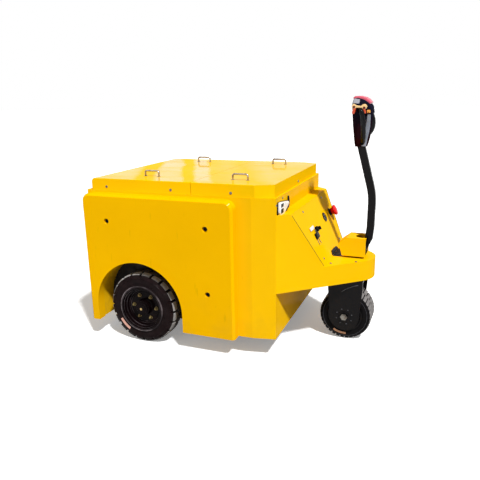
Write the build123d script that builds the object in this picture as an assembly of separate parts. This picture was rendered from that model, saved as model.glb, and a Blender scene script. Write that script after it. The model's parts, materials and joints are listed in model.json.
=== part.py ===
from build123d import *
from math import atan2, cos, hypot, pi, sin, sqrt, tan
import os

# Pedestrian electric tow tractor on three wheels.
# Millimetres. +X points to the tiller, +Y to the left side and +Z up.
# The origin is on the floor, under the centre of the overall box.
# A place along the machine is first given from the outer face of the front wall,
# positive towards the nose and negative towards the tow jaw, and then moved by WALL_X.

# Fits
SEAT = 0.3                # gap between two seated pieces of different bodies
RUN_FIT = 0.05            # radial clearance of a running fit
CLEAR = 5.0               # gap between a moving piece and what it passes

# Body
BODY_LENGTH = 1222.0
BODY_HALF = 535.0         # half width over the side walls
BODY_LOW = 130.0          # lower edge of the walls above the floor
BODY_TOP = 970.7          # top of the rim that the covers sit on
SHEET = 8.0               # thickness of the body sheet
FLOOR_T = 12.0            # thickness of the floor plate
CORNER_LONG = 137.0       # chamfer of the front corners, along the machine
CORNER_SIDE = 26.0        # and across it
RIM_WIDTH = 48.0          # width of the inward rim
COAMING_INSET = 40.0      # upright coaming, inside the body's outer face
COAMING_HIGH = 30.0       # height of the coaming over the rim
COAMING_T = 5.0

# Battery and its bearers
BATTERY_REAR = BODY_LENGTH - 102.0
BATTERY_FRONT = 170.0
BATTERY_HALF = BODY_HALF - 143.0
BATTERY_TOP = BODY_TOP - 45.7
BEARER_W = 60.0
BEARER_INSET = 40.0       # end bearers, inside the battery's ends
BEARERS = 3

# Side ballast plates
PLATE_T = 61.0            # thickness, from the side wall outwards
PLATE_REAR = BODY_LENGTH + 8.0       # rear edge, behind the front wall
PLATE_FRONT = 226.0       # front edge, behind the front wall
PLATE_LOW = BODY_LOW - 5.0
PLATE_TOP = BODY_TOP - 14.7
PLATE_CORNER = 55.0       # radius of the two upper corners
PLATE_BEVEL = 13.0        # bevel along the outer upper edge
BOLT_HEAD_R = 17.0        # counterbore of the plate bolts
BOLT_HEAD_DEEP = 22.0
# plate bolts: place behind the front wall, height
PLATE_BOLTS = [(1058.0, 790.0), (395.0, 788.0), (392.0, 392.0)]

# Rear wheels
AXLE_BACK = BODY_LENGTH - 353.0      # rear axle, behind the front wall
TYRE_R = 228.5            # 18 x 5 inch cushion tyre
TYRE_W = 127.0
TYRE_OUT = BODY_HALF + 29.0          # outer face of the tyre, from the centre line
TYRE_SHOULDER = 22.0
LUGS = 20                 # lugs on each shoulder
LUG_GROOVE = 13.0         # width of the grooves between them
# floor of a groove over a shoulder: depth under the tread, place inwards from the tyre's face
LUG_FLOOR = [(9.0, 58.0), (29.0, -4.0)]
RIM_R = 151.5             # outer edge of the rim's flange
RIM_LIP = 8.0             # the flange stands proud of the tyre
RIM_T = 9.0
RIM_RING = 16.0           # width of the flange's flat ring
RIM_STEP = 10.0           # step from the ring down into the dish
DISC_DEEP = 52.0          # the wheel disc lies this far inside the flange
DISC_RING_R = 104.0       # raised ring of the disc, outside its nuts
DISC_RING_HIGH = 7.0
WEB = 14.0                # slope between the barrel and the disc
HUB_R = 48.0
HUB_IN = 14.0             # end of the hub barrel inside the flange's plane
HUB_ROOT = 6.0
CAP_R = 39.0
CAP_HIGH = 14.0
CAP_STEP_R = 27.0         # raised middle of the cap
CAP_STEP_HIGH = 5.0
CAP_BEVEL = 3.0
STUB_R = 25.0
STUB_IN = 26.0            # end of the stub shaft inside the hub barrel's end
AXLE_BEAM = 90.0          # square rear axle beam
BRACKET_Y = 170.0
BRACKET_W = 40.0

BATTERY_LOW = TYRE_R + AXLE_BEAM / 2 + 16.5      # the battery clears the axle beam

# Wheel arches and houses
ARCH_R = TYRE_R + 74.5
ARCH_UP = TYRE_R + 8.5    # centre of the arch above the floor
HOUSE_GAP = 2.0           # the house lies this far outside the arch
HOUSE_T = 4.0
TYRE_SIDE_GAP = 18.0      # tyre to the inner panel of the house
HOUSE_SLOT = 12.0         # slot in the inner panel, round the stub shaft

# Nose
NOSE_REACH = 486.0        # tip of the nose
NOSE_LOW = 414.0
PLATFORM_UP = 536.5
NOSE_TOP = 872.0
NOSE_T = 6.0
NOSE_ROOT = 60.0          # the nose's plan is drawn this far into the body
DASH_TOP_X = 69.0         # upper edge of the dash
DASH_FOOT_X = 231.5       # lower edge of the dash
TIP_R = 160.0             # rounding of the tip, about the steering axis
PANEL_T = 4.0             # dash panel and platform cover
PANEL_GAP = 0.5           # gap round them
LEDGE = 22.0              # ledge under their edges
DASH_SLOT_HALF = 53.0     # cut-out of the dash behind the steering head
DASH_SLOT_HIGH = 28.0

# Steering and drive wheel
STEER_X = NOSE_REACH - TIP_R
DRIVE_R = 162.0
DRIVE_HALF = 95.0         # half the width of the drive tyre
DRIVE_RIM_R = 108.0
DRIVE_SHOULDER = 18.0
BLOCKS = 24               # tread blocks in each of the two rows
BLOCK_GROOVE = 9.0
TREAD_DEEP = 7.5
RIB_GROOVE = 6.0          # half the width of the groove between the rows
# floor of a groove over a shoulder of the drive tyre, in the same way
BLOCK_FLOOR = [(TREAD_DEEP, DRIVE_HALF - 1.0), (16.0, -4.0)]
DRIVE_HUB_IN = 4.0        # side covers of the hub motor inside the tyre's faces
DRIVE_BOSS = 3.0          # height of the boss round the axle, and depth of the ring groove
DRIVE_BOSS_R = 38.0
DRIVE_RING = 12.0         # ring groove, inside the rim's edge
DRIVE_AXLE_R = 14.0
FORK_GAP = 10.0           # tyre to fork plate
FORK_T = 12.0
FORK_R = 92.0             # rounded foot of a fork plate
FORK_FLARE = 107.0        # half the length of the fork at its top
FORK_FLARE_UP = 350.0
FORK_TOP = 404.0
AXLE_NUT_R = 22.0
AXLE_NUT_HIGH = 16.0
AXLE_END = 5.0            # the axle stands out of its nuts
POST_R = 32.0             # steering post
BEARING_R = 58.0          # bearing tube in the nose
POST_HOLE_R = POST_R + CLEAR + 1.0

# Steering head and its hood, over the platform
HEAD_UP = 549.0           # underside of the head plate and the hood
HEAD_T = 8.0
HOOD_HALF = 73.0
HOOD_T = 3.0
HOOD_TOP = 664.0
HOOD_FRONT = 433.0
HOOD_RIDGE = 319.0        # rear end of the flat top
HOOD_BACK = 268.0         # rearmost edge
HOOD_BACK_UP = 624.0
HOOD_FOOT = 290.0         # rear end of the hood's lower edge
HOOD_SLOT_HALF = 45.0
HOOD_SLOT_BACK = 362.0

# Tiller
PIVOT_X = 418.0
PIVOT_UP = 602.0
PIVOT_R = 10.0
PIN_HEAD = 6.0
LUG_GAP = CLEAR
LUG_T = 12.0
LUG_R = 20.0
LUG_BACK = 366.0          # rear end of the lugs' foot
BOSS_R = 23.0
TUBE_WIDE = 40.0          # across the machine
TUBE_DEEP = 45.0          # along the machine
TUBE_WALL = 4.0
TUBE_ROUND = 6.0
TUBE_LOW = 650.0
TUBE_JOIN = 4.0           # squared end of the tube over the start of its centre line
# centre line of the tube: place along the machine, height, bend radius
TUBE_LINE = [(441.0, TUBE_LOW, 0.0), (448.0, 725.0, 300.0), (450.0, 925.0, 420.0), (368.0, 1230.0, 0.0)]

# Tiller head
# sections of the housing: height, rear and front edge along the machine, half width, corner radius
HOUSING = [(1212.0, 334.0, 398.0, 26.0, 12.0), (1290.0, 322.0, 416.0, 33.0, 15.0),
           (1370.0, 315.0, 428.0, 46.0, 18.0), (1432.0, 314.0, 424.0, 61.0, 20.0),
           (1466.0, 319.0, 404.0, 62.0, 20.0), (1486.0, 332.0, 376.0, 56.0, 16.0)]
# red pad: side outline along the machine and up, half width
PAD_SIDE = [(318.0, 1478.0), (350.0, 1478.0), (388.0, 1462.0), (422.0, 1438.0), (428.0, 1458.0),
            (412.0, 1474.0), (378.0, 1496.0), (350.0, 1504.0), (322.0, 1502.0)]
PAD_HALF = 57.0
GRIP_R = 14.0
GRIP_X = 372.0
# centre line of a grip: place across the machine, height, bend radius
GRIP_LINE = [(20.0, 1446.0, 0.0), (84.0, 1446.0, 24.0), (84.0, 1318.0, 60.0), (16.0, 1236.0, 0.0)]

# Covers
LID_HALF = BODY_HALF - 5.0
LID_TOP = BODY_TOP + 72.3
LID_FRONT = 14.0          # front skirt, behind the front wall
LID_REAR = BODY_LENGTH - 32.0
LID_SEAM = 506.0
LID_REAR_ROUND = 26.0     # bend of the rear cover's rear edge
LID_SEAM_GAP = 3.0
LID_T = 4.0
LID_BEVEL = 2.5           # bevel round the top
LID_CORNER_LONG = 102.0   # chamfer of the front corners
LID_CORNER_SIDE = 46.0
LID_SEAM_LIP = 20.0       # folded lip along the seam
HANDLE_Y = LID_HALF - 150.0
HANDLE_LONG = 105.0
HANDLE_HIGH = 40.0
HANDLE_R = 5.5
HANDLE_BEND = 12.0
HANDLE_FOOT_R = 11.0
HANDLE_FOOT_T = 3.0
HANDLE_BACK = {"rear": 844.0, "front": 257.0}     # behind the front wall, for each cover

# Controls on the dash: height, place across the machine
GAUGE_AT = (740.0, 120.0)
GAUGE_R = 29.0
GAUGE_RIM = 5.0
STOP_AT = (733.0, 282.0)
STOP_R = 25.0
# emergency stop: radius as a share of the button's, height
STOP_PROFILE = [(0.8, 0.0), (0.8, 12.0), (0.55, 12.0), (0.6, 20.0), (0.9, 26.0), (1.0, 34.0), (0.9, 41.0),
                (0.5, 46.0), (0.0, 47.0)]
KEY_AT = (723.0, -150.0)
KEY_R = 15.0
KEY_COLLAR = 4.0
KEY_BARREL = 12.0         # end of the barrel above the dash
KEY_BOW = 24.0            # length, width and thickness of the key's bow
KEY_BOW_WIDE = 22.0
KEY_BOW_T = 4.0

# Charging socket on the front wall
SOCKET_Y = -412.0
SOCKET_UP = 903.0
SOCKET_WIDE = 74.0
SOCKET_HIGH = 62.0
SOCKET_DEEP = 44.0
SOCKET_ROUND = 8.0
SOCKET_SLOT_WIDE = 34.0
SOCKET_SLOT_HIGH = 11.0
SOCKET_SLOT_DEEP = 20.0
SOCKET_SLOT_STEP = 27.0

# Tow jaw
TAIL_REACH = BODY_LENGTH + 128.0     # rear end of the jaw, behind the front wall
JAW_UP = 300.0            # middle of the jaw's mouth
JAW_GAP = 76.0            # height of the mouth
JAW_T = 22.0
JAW_HALF = 60.0
JAW_PIN_R = 16.0
JAW_PLATE_T = 16.0
JAW_PLATE_HALF = 95.0
JAW_PLATE_HIGH = 90.0     # half the height of the mounting plate

FRONT_REACH = max(NOSE_REACH, STEER_X + DRIVE_R)
WALL_X = (TAIL_REACH - FRONT_REACH) / 2
LID_LOW = BODY_TOP + SEAT
HOUSE_IN = TYRE_OUT - TYRE_W - TYRE_SIDE_GAP
HOUSE_R = ARCH_R + HOUSE_GAP
RIM_FACE = TYRE_OUT + RIM_LIP
HUB_END = RIM_FACE - HUB_IN
FORK_IN = DRIVE_HALF + FORK_GAP
FORK_OUT = FORK_IN + FORK_T
NOSE_HALF = BODY_HALF - CORNER_SIDE
DASH_SLOPE = atan2(NOSE_TOP - PLATFORM_UP, DASH_FOOT_X - DASH_TOP_X)
DASH_NORMAL = (sin(DASH_SLOPE), 0, cos(DASH_SLOPE))       # points out of the dash
SIDES = (("right", -1), ("left", 1))
FAR = 3000.0              # longer than the machine, for cutting


def at(place):
    """Place along X of a point given from the front wall."""
    return WALL_X + place


def block(x0, x1, y0, y1, z0, z1):
    """Box between two corners."""
    return Pos((x0 + x1) / 2, (y0 + y1) / 2, (z0 + z1) / 2) * Box(abs(x1 - x0), abs(y1 - y0), abs(z1 - z0))


def slab(points, z0, z1):
    """Plan outline raised from z0 to z1."""
    return Pos(0, 0, z0) * extrude(Polygon(*points, align=None), z1 - z0)


def upright(outline, y0, y1):
    """Side outline, drawn as x and z, carried from y0 to y1."""
    sketch = Polygon(*outline, align=None) if isinstance(outline, list) else outline
    return extrude(Plane.XZ.offset(-max(y0, y1)) * sketch, abs(y1 - y0))


def rod_y(x, z, radius, y0, y1):
    """Round bar along Y."""
    return Pos(x, (y0 + y1) / 2, z) * Rot(90, 0, 0) * Cylinder(radius, abs(y1 - y0))


def rod_z(x, y, radius, z0, z1):
    """Round bar along Z."""
    return Pos(x, y, (z0 + z1) / 2) * Cylinder(radius, z1 - z0)


def turned(profile, x, z, side=1):
    """Profile of radius and place across, turned about an axis along Y."""
    return Pos(x, 0, z) * revolve(Polygon(*[(r, side * y) for r, y in profile], align=None), Axis.Y)


def flip(shape):
    """The same piece on the other side of the machine."""
    return mirror(shape, Plane.XZ)


def save(name, *solids):
    """Write one node, made of one or more separate solids."""
    shape = solids[0] if len(solids) == 1 else Compound(children=[s.solid() for s in solids])
    export_step(shape, f"parts/{name}.step")


# Body

def body_plan(inset=0.0):
    """Plan of the body with its chamfered front corners, moved inwards by inset."""
    slope = atan2(CORNER_SIDE, CORNER_LONG)
    half = BODY_HALF - inset
    x_rear = at(-BODY_LENGTH) + inset
    x_corner = at(-CORNER_LONG) - inset * tan(slope / 2)
    y_front = NOSE_HALF - inset * tan((pi / 2 - slope) / 2)
    right = [(x_rear, -half), (x_corner, -half), (at(0) - inset, -y_front)]
    return right + [(x, -y) for x, y in reversed(right)]


def wall_ring():
    """All four walls in one, before they are parted."""
    low, high = BODY_LOW, BODY_TOP - SHEET
    return slab(body_plan(), low, high) - slab(body_plan(SHEET), low - 1, high + 1)


def make_side_wall(side):
    """Side wall with its chamfered front corner and the opening for the wheel."""
    x = at(-AXLE_BACK)
    inner = NOSE_HALF - SHEET - CORNER_SIDE
    wall = wall_ring() & block(at(-BODY_LENGTH + SHEET), at(-SHEET), side * inner, side * FAR, 0, FAR)
    wall -= rod_y(x, ARCH_UP, HOUSE_R, side * inner, side * FAR)
    return wall - block(x - HOUSE_R, x + HOUSE_R, side * inner, side * FAR, 0, ARCH_UP)


def make_end_wall(front):
    """Front or rear wall."""
    x0, x1 = (at(-SHEET), at(1)) if front else (at(-BODY_LENGTH - 1), at(-BODY_LENGTH + SHEET))
    return wall_ring() & block(x0, x1, -FAR, FAR, 0, FAR)


def make_rim():
    """Inward rim on the walls, with the upright coaming inside the covers' skirts."""
    low = BODY_TOP - SHEET
    rim = slab(body_plan(), low, BODY_TOP) - slab(body_plan(RIM_WIDTH), low - 1, BODY_TOP + 1)
    coaming = slab(body_plan(COAMING_INSET), low, BODY_TOP + COAMING_HIGH)
    coaming -= slab(body_plan(COAMING_INSET + COAMING_T), low - 1, FAR)
    return rim + coaming


def make_floor():
    """Floor plate, cut out for the wheel houses."""
    x = at(-AXLE_BACK)
    reach = HOUSE_R + HOUSE_T
    plate = slab(body_plan(SHEET), BODY_LOW, BODY_LOW + FLOOR_T)
    for _, side in SIDES:
        plate -= block(x - reach, x + reach, side * (HOUSE_IN - HOUSE_T), side * FAR, 0, FAR)
    return plate


def make_bearers():
    """Bars on the floor that carry the battery."""
    first = at(-BATTERY_FRONT - BEARER_INSET - BEARER_W / 2)
    last = at(-BATTERY_REAR + BEARER_INSET)
    bars = []
    for i in range(BEARERS):
        x = first + (last - first) * i / (BEARERS - 1)
        bars.append(block(x - BEARER_W / 2, x + BEARER_W / 2, -BATTERY_HALF, BATTERY_HALF,
                          BODY_LOW + FLOOR_T, BATTERY_LOW))
    return bars


def make_battery():
    """Battery as one plain block."""
    return block(at(-BATTERY_REAR), at(-BATTERY_FRONT), -BATTERY_HALF, BATTERY_HALF, BATTERY_LOW, BATTERY_TOP)


def make_wheel_house(side):
    """Bent sheet over the wheel with its inner panel."""
    x = at(-AXLE_BACK)

    def arch(radius, y0, y1, low):
        upper = rod_y(x, ARCH_UP, radius, y0, y1) & block(x - radius, x + radius, y0, y1, low, FAR)
        return upper + block(x - radius, x + radius, y0, y1, low, ARCH_UP)

    house = arch(HOUSE_R + HOUSE_T, side * (HOUSE_IN - HOUSE_T), side * (BODY_HALF - SHEET), BODY_LOW)
    house -= arch(HOUSE_R, side * HOUSE_IN, side * FAR, BODY_LOW - 1)
    slot = STUB_R + HOUSE_SLOT
    house -= block(x - slot, x + slot, side * (HOUSE_IN - 2 * HOUSE_T), side * (HOUSE_IN + 1), 0, TYRE_R)
    return house - rod_y(x, TYRE_R, slot, side * (HOUSE_IN - 2 * HOUSE_T), side * (HOUSE_IN + 1))


def make_plate(side):
    """Ballast plate on the side wall, with the wheel arch, bevel and bolt holes."""
    x0, x1 = at(-PLATE_REAR), at(-PLATE_FRONT)
    outline = Pos((x0 + x1) / 2, (PLATE_LOW + PLATE_TOP) / 2) * Rectangle(x1 - x0, PLATE_TOP - PLATE_LOW)
    outline = fillet(outline.vertices().group_by(Axis.Y)[-1], PLATE_CORNER)
    face = BODY_HALF + PLATE_T
    plate = upright(outline, -face, -BODY_HALF)
    rim = plate.faces().sort_by(Axis.Y)[0].edges()
    plate = chamfer([e for e in rim if e.center().Z > PLATE_TOP - PLATE_CORNER * 0.75], PLATE_BEVEL)
    plate -= rod_y(at(-AXLE_BACK), ARCH_UP, ARCH_R, -FAR, 0)
    plate -= block(at(-AXLE_BACK) - ARCH_R, at(-AXLE_BACK) + ARCH_R, -FAR, 0, 0, ARCH_UP)
    for back, up in PLATE_BOLTS:
        plate -= rod_y(at(-back), up, BOLT_HEAD_R, -face - 1, -face + BOLT_HEAD_DEEP)
    return plate if side < 0 else flip(plate)


# Rear axle and wheels

def make_axle():
    """Rear axle beam with a stub shaft at each end and two brackets on the floor."""
    x, z = at(-AXLE_BACK), TYRE_R
    half = AXLE_BEAM / 2
    reach = HOUSE_IN - 2 * HOUSE_T
    axle = block(x - half, x + half, -reach, reach, z - half, z + half)
    for _, side in SIDES:
        axle += rod_y(x, z, STUB_R, side * (reach - half), side * (HUB_END - STUB_IN))
        axle += block(x - AXLE_BEAM, x + AXLE_BEAM, side * (BRACKET_Y - BRACKET_W / 2),
                      side * (BRACKET_Y + BRACKET_W / 2), BODY_LOW + FLOOR_T, z)
    return axle


def cut_grooves(tyre, x, radius, faces, floor, width, count):
    """Cut the grooves over both shoulders of a tyre, the second row half a pitch on."""
    tools = []
    for row, (face, inwards) in enumerate(((faces[0], 1), (faces[1], -1))):
        outline = [(radius - depth, face + inwards * place) for depth, place in floor]
        outline += [(radius + TYRE_SHOULDER, outline[-1][1]), (radius + TYRE_SHOULDER, outline[0][1])]
        tool = extrude(Polygon(*outline, align=None), width / 2, both=True)
        for i in range(count):
            tools.append(Pos(x, 0, radius) * Rot(0, 360 * (i + row / 2) / count, 0) * tool)
    return tyre - tools


def make_tyre(side):
    """Cushion tyre with lugs on its rounded shoulders."""
    y1, y0 = TYRE_OUT, TYRE_OUT - TYRE_W
    bore, step = RIM_R - RIM_T, TYRE_SHOULDER
    profile = [(bore, y0), (TYRE_R - step, y0), (TYRE_R, y0 + 0.7 * step),
               (TYRE_R, y1 - 0.7 * step), (TYRE_R - step, y1), (bore, y1)]
    x = at(-AXLE_BACK)
    tyre = turned(profile, x, TYRE_R)
    tyre = cut_grooves(tyre, x, TYRE_R, (y0, y1), LUG_FLOOR, LUG_GROOVE, LUGS)
    return tyre if side > 0 else flip(tyre)


def make_rim_disc(side):
    """Wheel rim: barrel with a stepped outer flange, dished disc and hub barrel with its bore."""
    seat = RIM_R - RIM_T
    barrel = seat - RIM_T
    foot = barrel - WEB
    disc = RIM_FACE - DISC_DEEP
    ring = disc + DISC_RING_HIGH
    step = RIM_R - RIM_RING
    bore = STUB_R + RUN_FIT
    profile = [(barrel, TYRE_OUT - TYRE_W), (seat, TYRE_OUT - TYRE_W), (seat, TYRE_OUT), (RIM_R, TYRE_OUT),
               (RIM_R, RIM_FACE - RIM_T / 3), (RIM_R - RIM_T / 3, RIM_FACE), (step + RIM_T / 3, RIM_FACE),
               (step, RIM_FACE - RIM_T / 3), (step, RIM_FACE - RIM_STEP),
               (barrel - RIM_T / 2, RIM_FACE - RIM_STEP), (foot, ring), (DISC_RING_R, ring),
               (DISC_RING_R - DISC_RING_HIGH, disc), (HUB_R + HUB_ROOT, disc), (HUB_R, disc + HUB_ROOT),
               (HUB_R, HUB_END), (bore, HUB_END), (bore, HOUSE_IN + CLEAR),
               (HUB_R + HUB_ROOT, HOUSE_IN + CLEAR), (HUB_R + HUB_ROOT, disc - RIM_T), (foot, disc - RIM_T),
               (barrel, disc - RIM_T + WEB)]
    return turned(profile, at(-AXLE_BACK), TYRE_R, side)


def make_hub_cap(side):
    """Stepped cap on the hub barrel."""
    step, top = HUB_END + CAP_HIGH - CAP_STEP_HIGH, HUB_END + CAP_HIGH
    profile = [(0, HUB_END), (CAP_R, HUB_END), (CAP_R, step - CAP_BEVEL), (CAP_R - CAP_BEVEL, step),
               (CAP_STEP_R, step), (CAP_STEP_R, top - CAP_BEVEL / 2), (CAP_STEP_R - CAP_BEVEL / 2, top),
               (0, top)]
    return turned(profile, at(-AXLE_BACK), TYRE_R, side)


# Nose

def nose_plan(inset=0.0):
    """Plan of the nose: two oblique sides and a tip rounded about the steering axis."""
    along = sqrt(hypot(STEER_X, NOSE_HALF) ** 2 - TIP_R ** 2)
    angle = atan2(NOSE_HALF, STEER_X) - atan2(TIP_R, along)
    near = (along * cos(angle) - inset * sin(angle), NOSE_HALF - along * sin(angle) - inset * cos(angle))
    back = -NOSE_ROOT
    base = (back, NOSE_HALF - inset / cos(angle) - back * tan(angle))
    tip = ThreePointArc(near, (STEER_X + TIP_R - inset, 0), (near[0], -near[1]))
    sides = [Line(base, near), Line((near[0], -near[1]), (base[0], -base[1])),
             Line((base[0], -base[1]), base)]
    return Pos(WALL_X, 0) * make_face([*sides, tip])


def nose_side(inset=0.0):
    """Side outline of the nose: underside, platform, sloping dash and the strip above it."""
    shift = inset * tan(DASH_SLOPE / 2)
    ahead = NOSE_REACH + NOSE_ROOT
    return [(at(0), NOSE_LOW + inset), (at(ahead), NOSE_LOW + inset), (at(ahead), PLATFORM_UP - inset),
            (at(DASH_FOOT_X - shift), PLATFORM_UP - inset), (at(DASH_TOP_X - shift), NOSE_TOP - inset),
            (at(0), NOSE_TOP - inset)]


def nose_body(inset=0.0):
    """The nose as a solid, moved inwards by inset."""
    return upright(nose_side(inset), -FAR, FAR) & extrude(nose_plan(inset), FAR)


def dash_spot(height, across):
    """Frame on the dash at a height and a place across, its Z pointing out of the dash."""
    x = at(DASH_FOOT_X - (height - PLATFORM_UP) / tan(DASH_SLOPE))
    return Plane(origin=(x, across, height), x_dir=(0, 1, 0), z_dir=DASH_NORMAL)


def dash_zone(side_inset, end_inset, depth):
    """Space on the dash slope, inside its edges and down to a depth."""
    slope = hypot(DASH_FOOT_X - DASH_TOP_X, NOSE_TOP - PLATFORM_UP)
    face = Pos(0, slope / 2) * Rectangle(4 * NOSE_HALF, slope - 2 * end_inset)
    zone = extrude(dash_spot(PLATFORM_UP, 0) * face, depth, both=True)
    return zone & extrude(nose_plan(side_inset), FAR)


def platform_zone(side_inset, back_inset, depth):
    """Space on the platform, in front of the dash and down to a depth."""
    zone = Pos(0, 0, PLATFORM_UP - depth) * extrude(nose_plan(side_inset), 2 * depth)
    return zone & block(at(DASH_FOOT_X + back_inset), FAR, -FAR, FAR, 0, FAR)


def slot_zone():
    """Space of the cut-out at the foot of the dash."""
    return block(at(0), at(DASH_FOOT_X + 1), -DASH_SLOT_HALF, DASH_SLOT_HALF,
                 PLATFORM_UP, PLATFORM_UP + DASH_SLOT_HIGH)


def make_nose():
    """Hollow welded nose, open at the dash and under the platform cover."""
    nose = nose_body() - nose_body(NOSE_T)
    nose -= dash_zone(NOSE_T, PANEL_T, PANEL_T)
    nose -= dash_zone(NOSE_T + LEDGE, LEDGE, 2 * NOSE_T)
    nose -= platform_zone(NOSE_T, PANEL_T, PANEL_T)
    nose -= platform_zone(NOSE_T + LEDGE, LEDGE, 2 * NOSE_T)
    nose -= slot_zone()
    nose -= rod_z(at(STEER_X), 0, BEARING_R, NOSE_LOW - 1, NOSE_LOW + NOSE_T + 1)
    return nose.solids().sort_by(SortBy.VOLUME)[-1]


def make_dash():
    """Dash panel with the cut-out behind the steering head."""
    panel = dash_zone(NOSE_T + PANEL_GAP, PANEL_T + PANEL_GAP, PANEL_T) & nose_body()
    return (panel - slot_zone()).solid()


def make_platform_cover():
    """Cover plate of the platform, with the hole for the steering post."""
    cover = platform_zone(NOSE_T + PANEL_GAP, PANEL_T + PANEL_GAP, PANEL_T) & nose_body()
    return (cover - rod_z(at(STEER_X), 0, POST_HOLE_R, 0, FAR)).solid()


def make_bearing():
    """Bearing tube of the steering post."""
    tube = rod_z(at(STEER_X), 0, BEARING_R, FORK_TOP + SEAT, PLATFORM_UP - PANEL_T)
    return tube - rod_z(at(STEER_X), 0, POST_R + RUN_FIT, 0, FAR)


def make_gauge():
    """Round battery gauge with a raised rim."""
    gauge = Pos(0, 0, GAUGE_RIM / 2) * Cylinder(GAUGE_R, GAUGE_RIM)
    gauge -= Pos(0, 0, GAUGE_RIM) * Cylinder(GAUGE_R - GAUGE_RIM, GAUGE_RIM / 2)
    return dash_spot(*GAUGE_AT) * gauge


def make_stop():
    """Emergency stop: round base and mushroom button."""
    profile = [(0, 0)] + [(STOP_R * share, z) for share, z in STOP_PROFILE]
    return dash_spot(*STOP_AT) * revolve(Plane.XZ * Polygon(*profile, align=None), Axis.Z)


def make_key_switch():
    """Key switch: round collar, barrel and the key's bow."""
    switch = Pos(0, 0, KEY_COLLAR / 2) * Cylinder(KEY_R, KEY_COLLAR)
    switch += Pos(0, 0, KEY_BARREL / 2) * Cylinder(KEY_R * 0.7, KEY_BARREL)
    switch += Pos(0, 0, KEY_BARREL + KEY_BOW / 2 - 1) * Box(KEY_BOW_T, KEY_BOW_WIDE, KEY_BOW)
    return dash_spot(*KEY_AT) * switch


def make_socket():
    """Charging socket on the front wall with its two contact slots."""
    x = at(0)
    socket = block(x, x + SOCKET_DEEP, SOCKET_Y - SOCKET_WIDE / 2, SOCKET_Y + SOCKET_WIDE / 2,
                   SOCKET_UP - SOCKET_HIGH / 2, SOCKET_UP + SOCKET_HIGH / 2)
    socket = fillet(socket.edges().filter_by(Axis.X), SOCKET_ROUND)
    for shift in (-SOCKET_SLOT_STEP / 2, SOCKET_SLOT_STEP / 2):
        socket -= block(x + SOCKET_DEEP - SOCKET_SLOT_DEEP, x + SOCKET_DEEP + 1,
                        SOCKET_Y - SOCKET_SLOT_WIDE / 2, SOCKET_Y + SOCKET_SLOT_WIDE / 2,
                        SOCKET_UP + shift - SOCKET_SLOT_HIGH / 2, SOCKET_UP + shift + SOCKET_SLOT_HIGH / 2)
    return socket


# Drive wheel and steering

def make_drive_tyre():
    """Wide tyre of the drive wheel with two rows of tread blocks."""
    half, step, x = DRIVE_HALF, DRIVE_SHOULDER, at(STEER_X)
    profile = [(DRIVE_RIM_R, -half), (DRIVE_R - step, -half), (DRIVE_R, 0.7 * step - half),
               (DRIVE_R, -RIB_GROOVE), (DRIVE_R - TREAD_DEEP, -RIB_GROOVE)]
    profile += [(r, -y) for r, y in reversed(profile)]
    tyre = turned(profile, x, DRIVE_R)
    return cut_grooves(tyre, x, DRIVE_R, (-half, half), BLOCK_FLOOR, BLOCK_GROOVE, BLOCKS)


def make_drive_hub():
    """Hub motor: drum with flat side covers and the bore of the fixed axle."""
    half = DRIVE_HALF - DRIVE_HUB_IN
    ring = DRIVE_RIM_R - DRIVE_RING
    profile = [(DRIVE_AXLE_R + RUN_FIT, -half - DRIVE_BOSS), (DRIVE_BOSS_R, -half - DRIVE_BOSS),
               (DRIVE_BOSS_R + 2 * DRIVE_BOSS, -half), (ring - DRIVE_BOSS, -half), (ring, -half + DRIVE_BOSS),
               (ring + DRIVE_BOSS, -half), (DRIVE_RIM_R, -half)]
    profile += [(r, -y) for r, y in reversed(profile)]
    return turned(profile, at(STEER_X), DRIVE_R)


def make_fork():
    """Welded fork over the drive wheel: two side plates with rounded feet and a top plate."""
    x, z = at(STEER_X), DRIVE_R
    foot = ThreePointArc((x - FORK_R, z), (x, z - FORK_R), (x + FORK_R, z))
    edge = Polyline((x + FORK_R, z), (x + FORK_FLARE, FORK_FLARE_UP), (x + FORK_FLARE, FORK_TOP),
                    (x - FORK_FLARE, FORK_TOP), (x - FORK_FLARE, FORK_FLARE_UP), (x - FORK_R, z))
    outline = make_face([foot, *edge.edges()])
    fork = block(x - FORK_FLARE, x + FORK_FLARE, -FORK_OUT, FORK_OUT, FORK_TOP - FORK_T, FORK_TOP)
    for _, side in SIDES:
        fork += upright(outline, side * FORK_IN, side * FORK_OUT)
    return fork - rod_y(x, z, DRIVE_AXLE_R, -FAR, FAR)


def make_drive_axle():
    """Fixed axle of the drive wheel with a nut at each end."""
    x, z = at(STEER_X), DRIVE_R
    reach = FORK_OUT + AXLE_NUT_HIGH + AXLE_END
    axle = rod_y(x, z, DRIVE_AXLE_R, -reach, reach)
    for _, side in SIDES:
        axle += upright(Pos(x, z) * RegularPolygon(AXLE_NUT_R, 6), side * FORK_OUT,
                        side * (FORK_OUT + AXLE_NUT_HIGH))
    return axle


def make_post():
    """Steering post between the fork and the steering head."""
    return rod_z(at(STEER_X), 0, POST_R, FORK_TOP, HEAD_UP)


def make_head():
    """Steering head: plate on the post and the two lugs of the tiller."""
    half = HOOD_HALF - HOOD_T
    x0, x1 = at(HOOD_FOOT + HOOD_T + CLEAR), at(HOOD_FRONT - CLEAR)
    head = block(x0, x1, -half, half, HEAD_UP, HEAD_UP + HEAD_T)
    x, z = at(PIVOT_X), PIVOT_UP
    outline = Polygon((at(LUG_BACK), HEAD_UP), (x + LUG_R / 2, HEAD_UP), (x + LUG_R, z), (x - LUG_R, z),
                      align=None)
    outline += Pos(x, z) * Circle(LUG_R)
    inner = TUBE_WIDE / 2 + LUG_GAP
    for _, side in SIDES:
        head += upright(outline, side * inner, side * (inner + LUG_T))
    return head - rod_y(x, z, PIVOT_R, -FAR, FAR)


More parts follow.
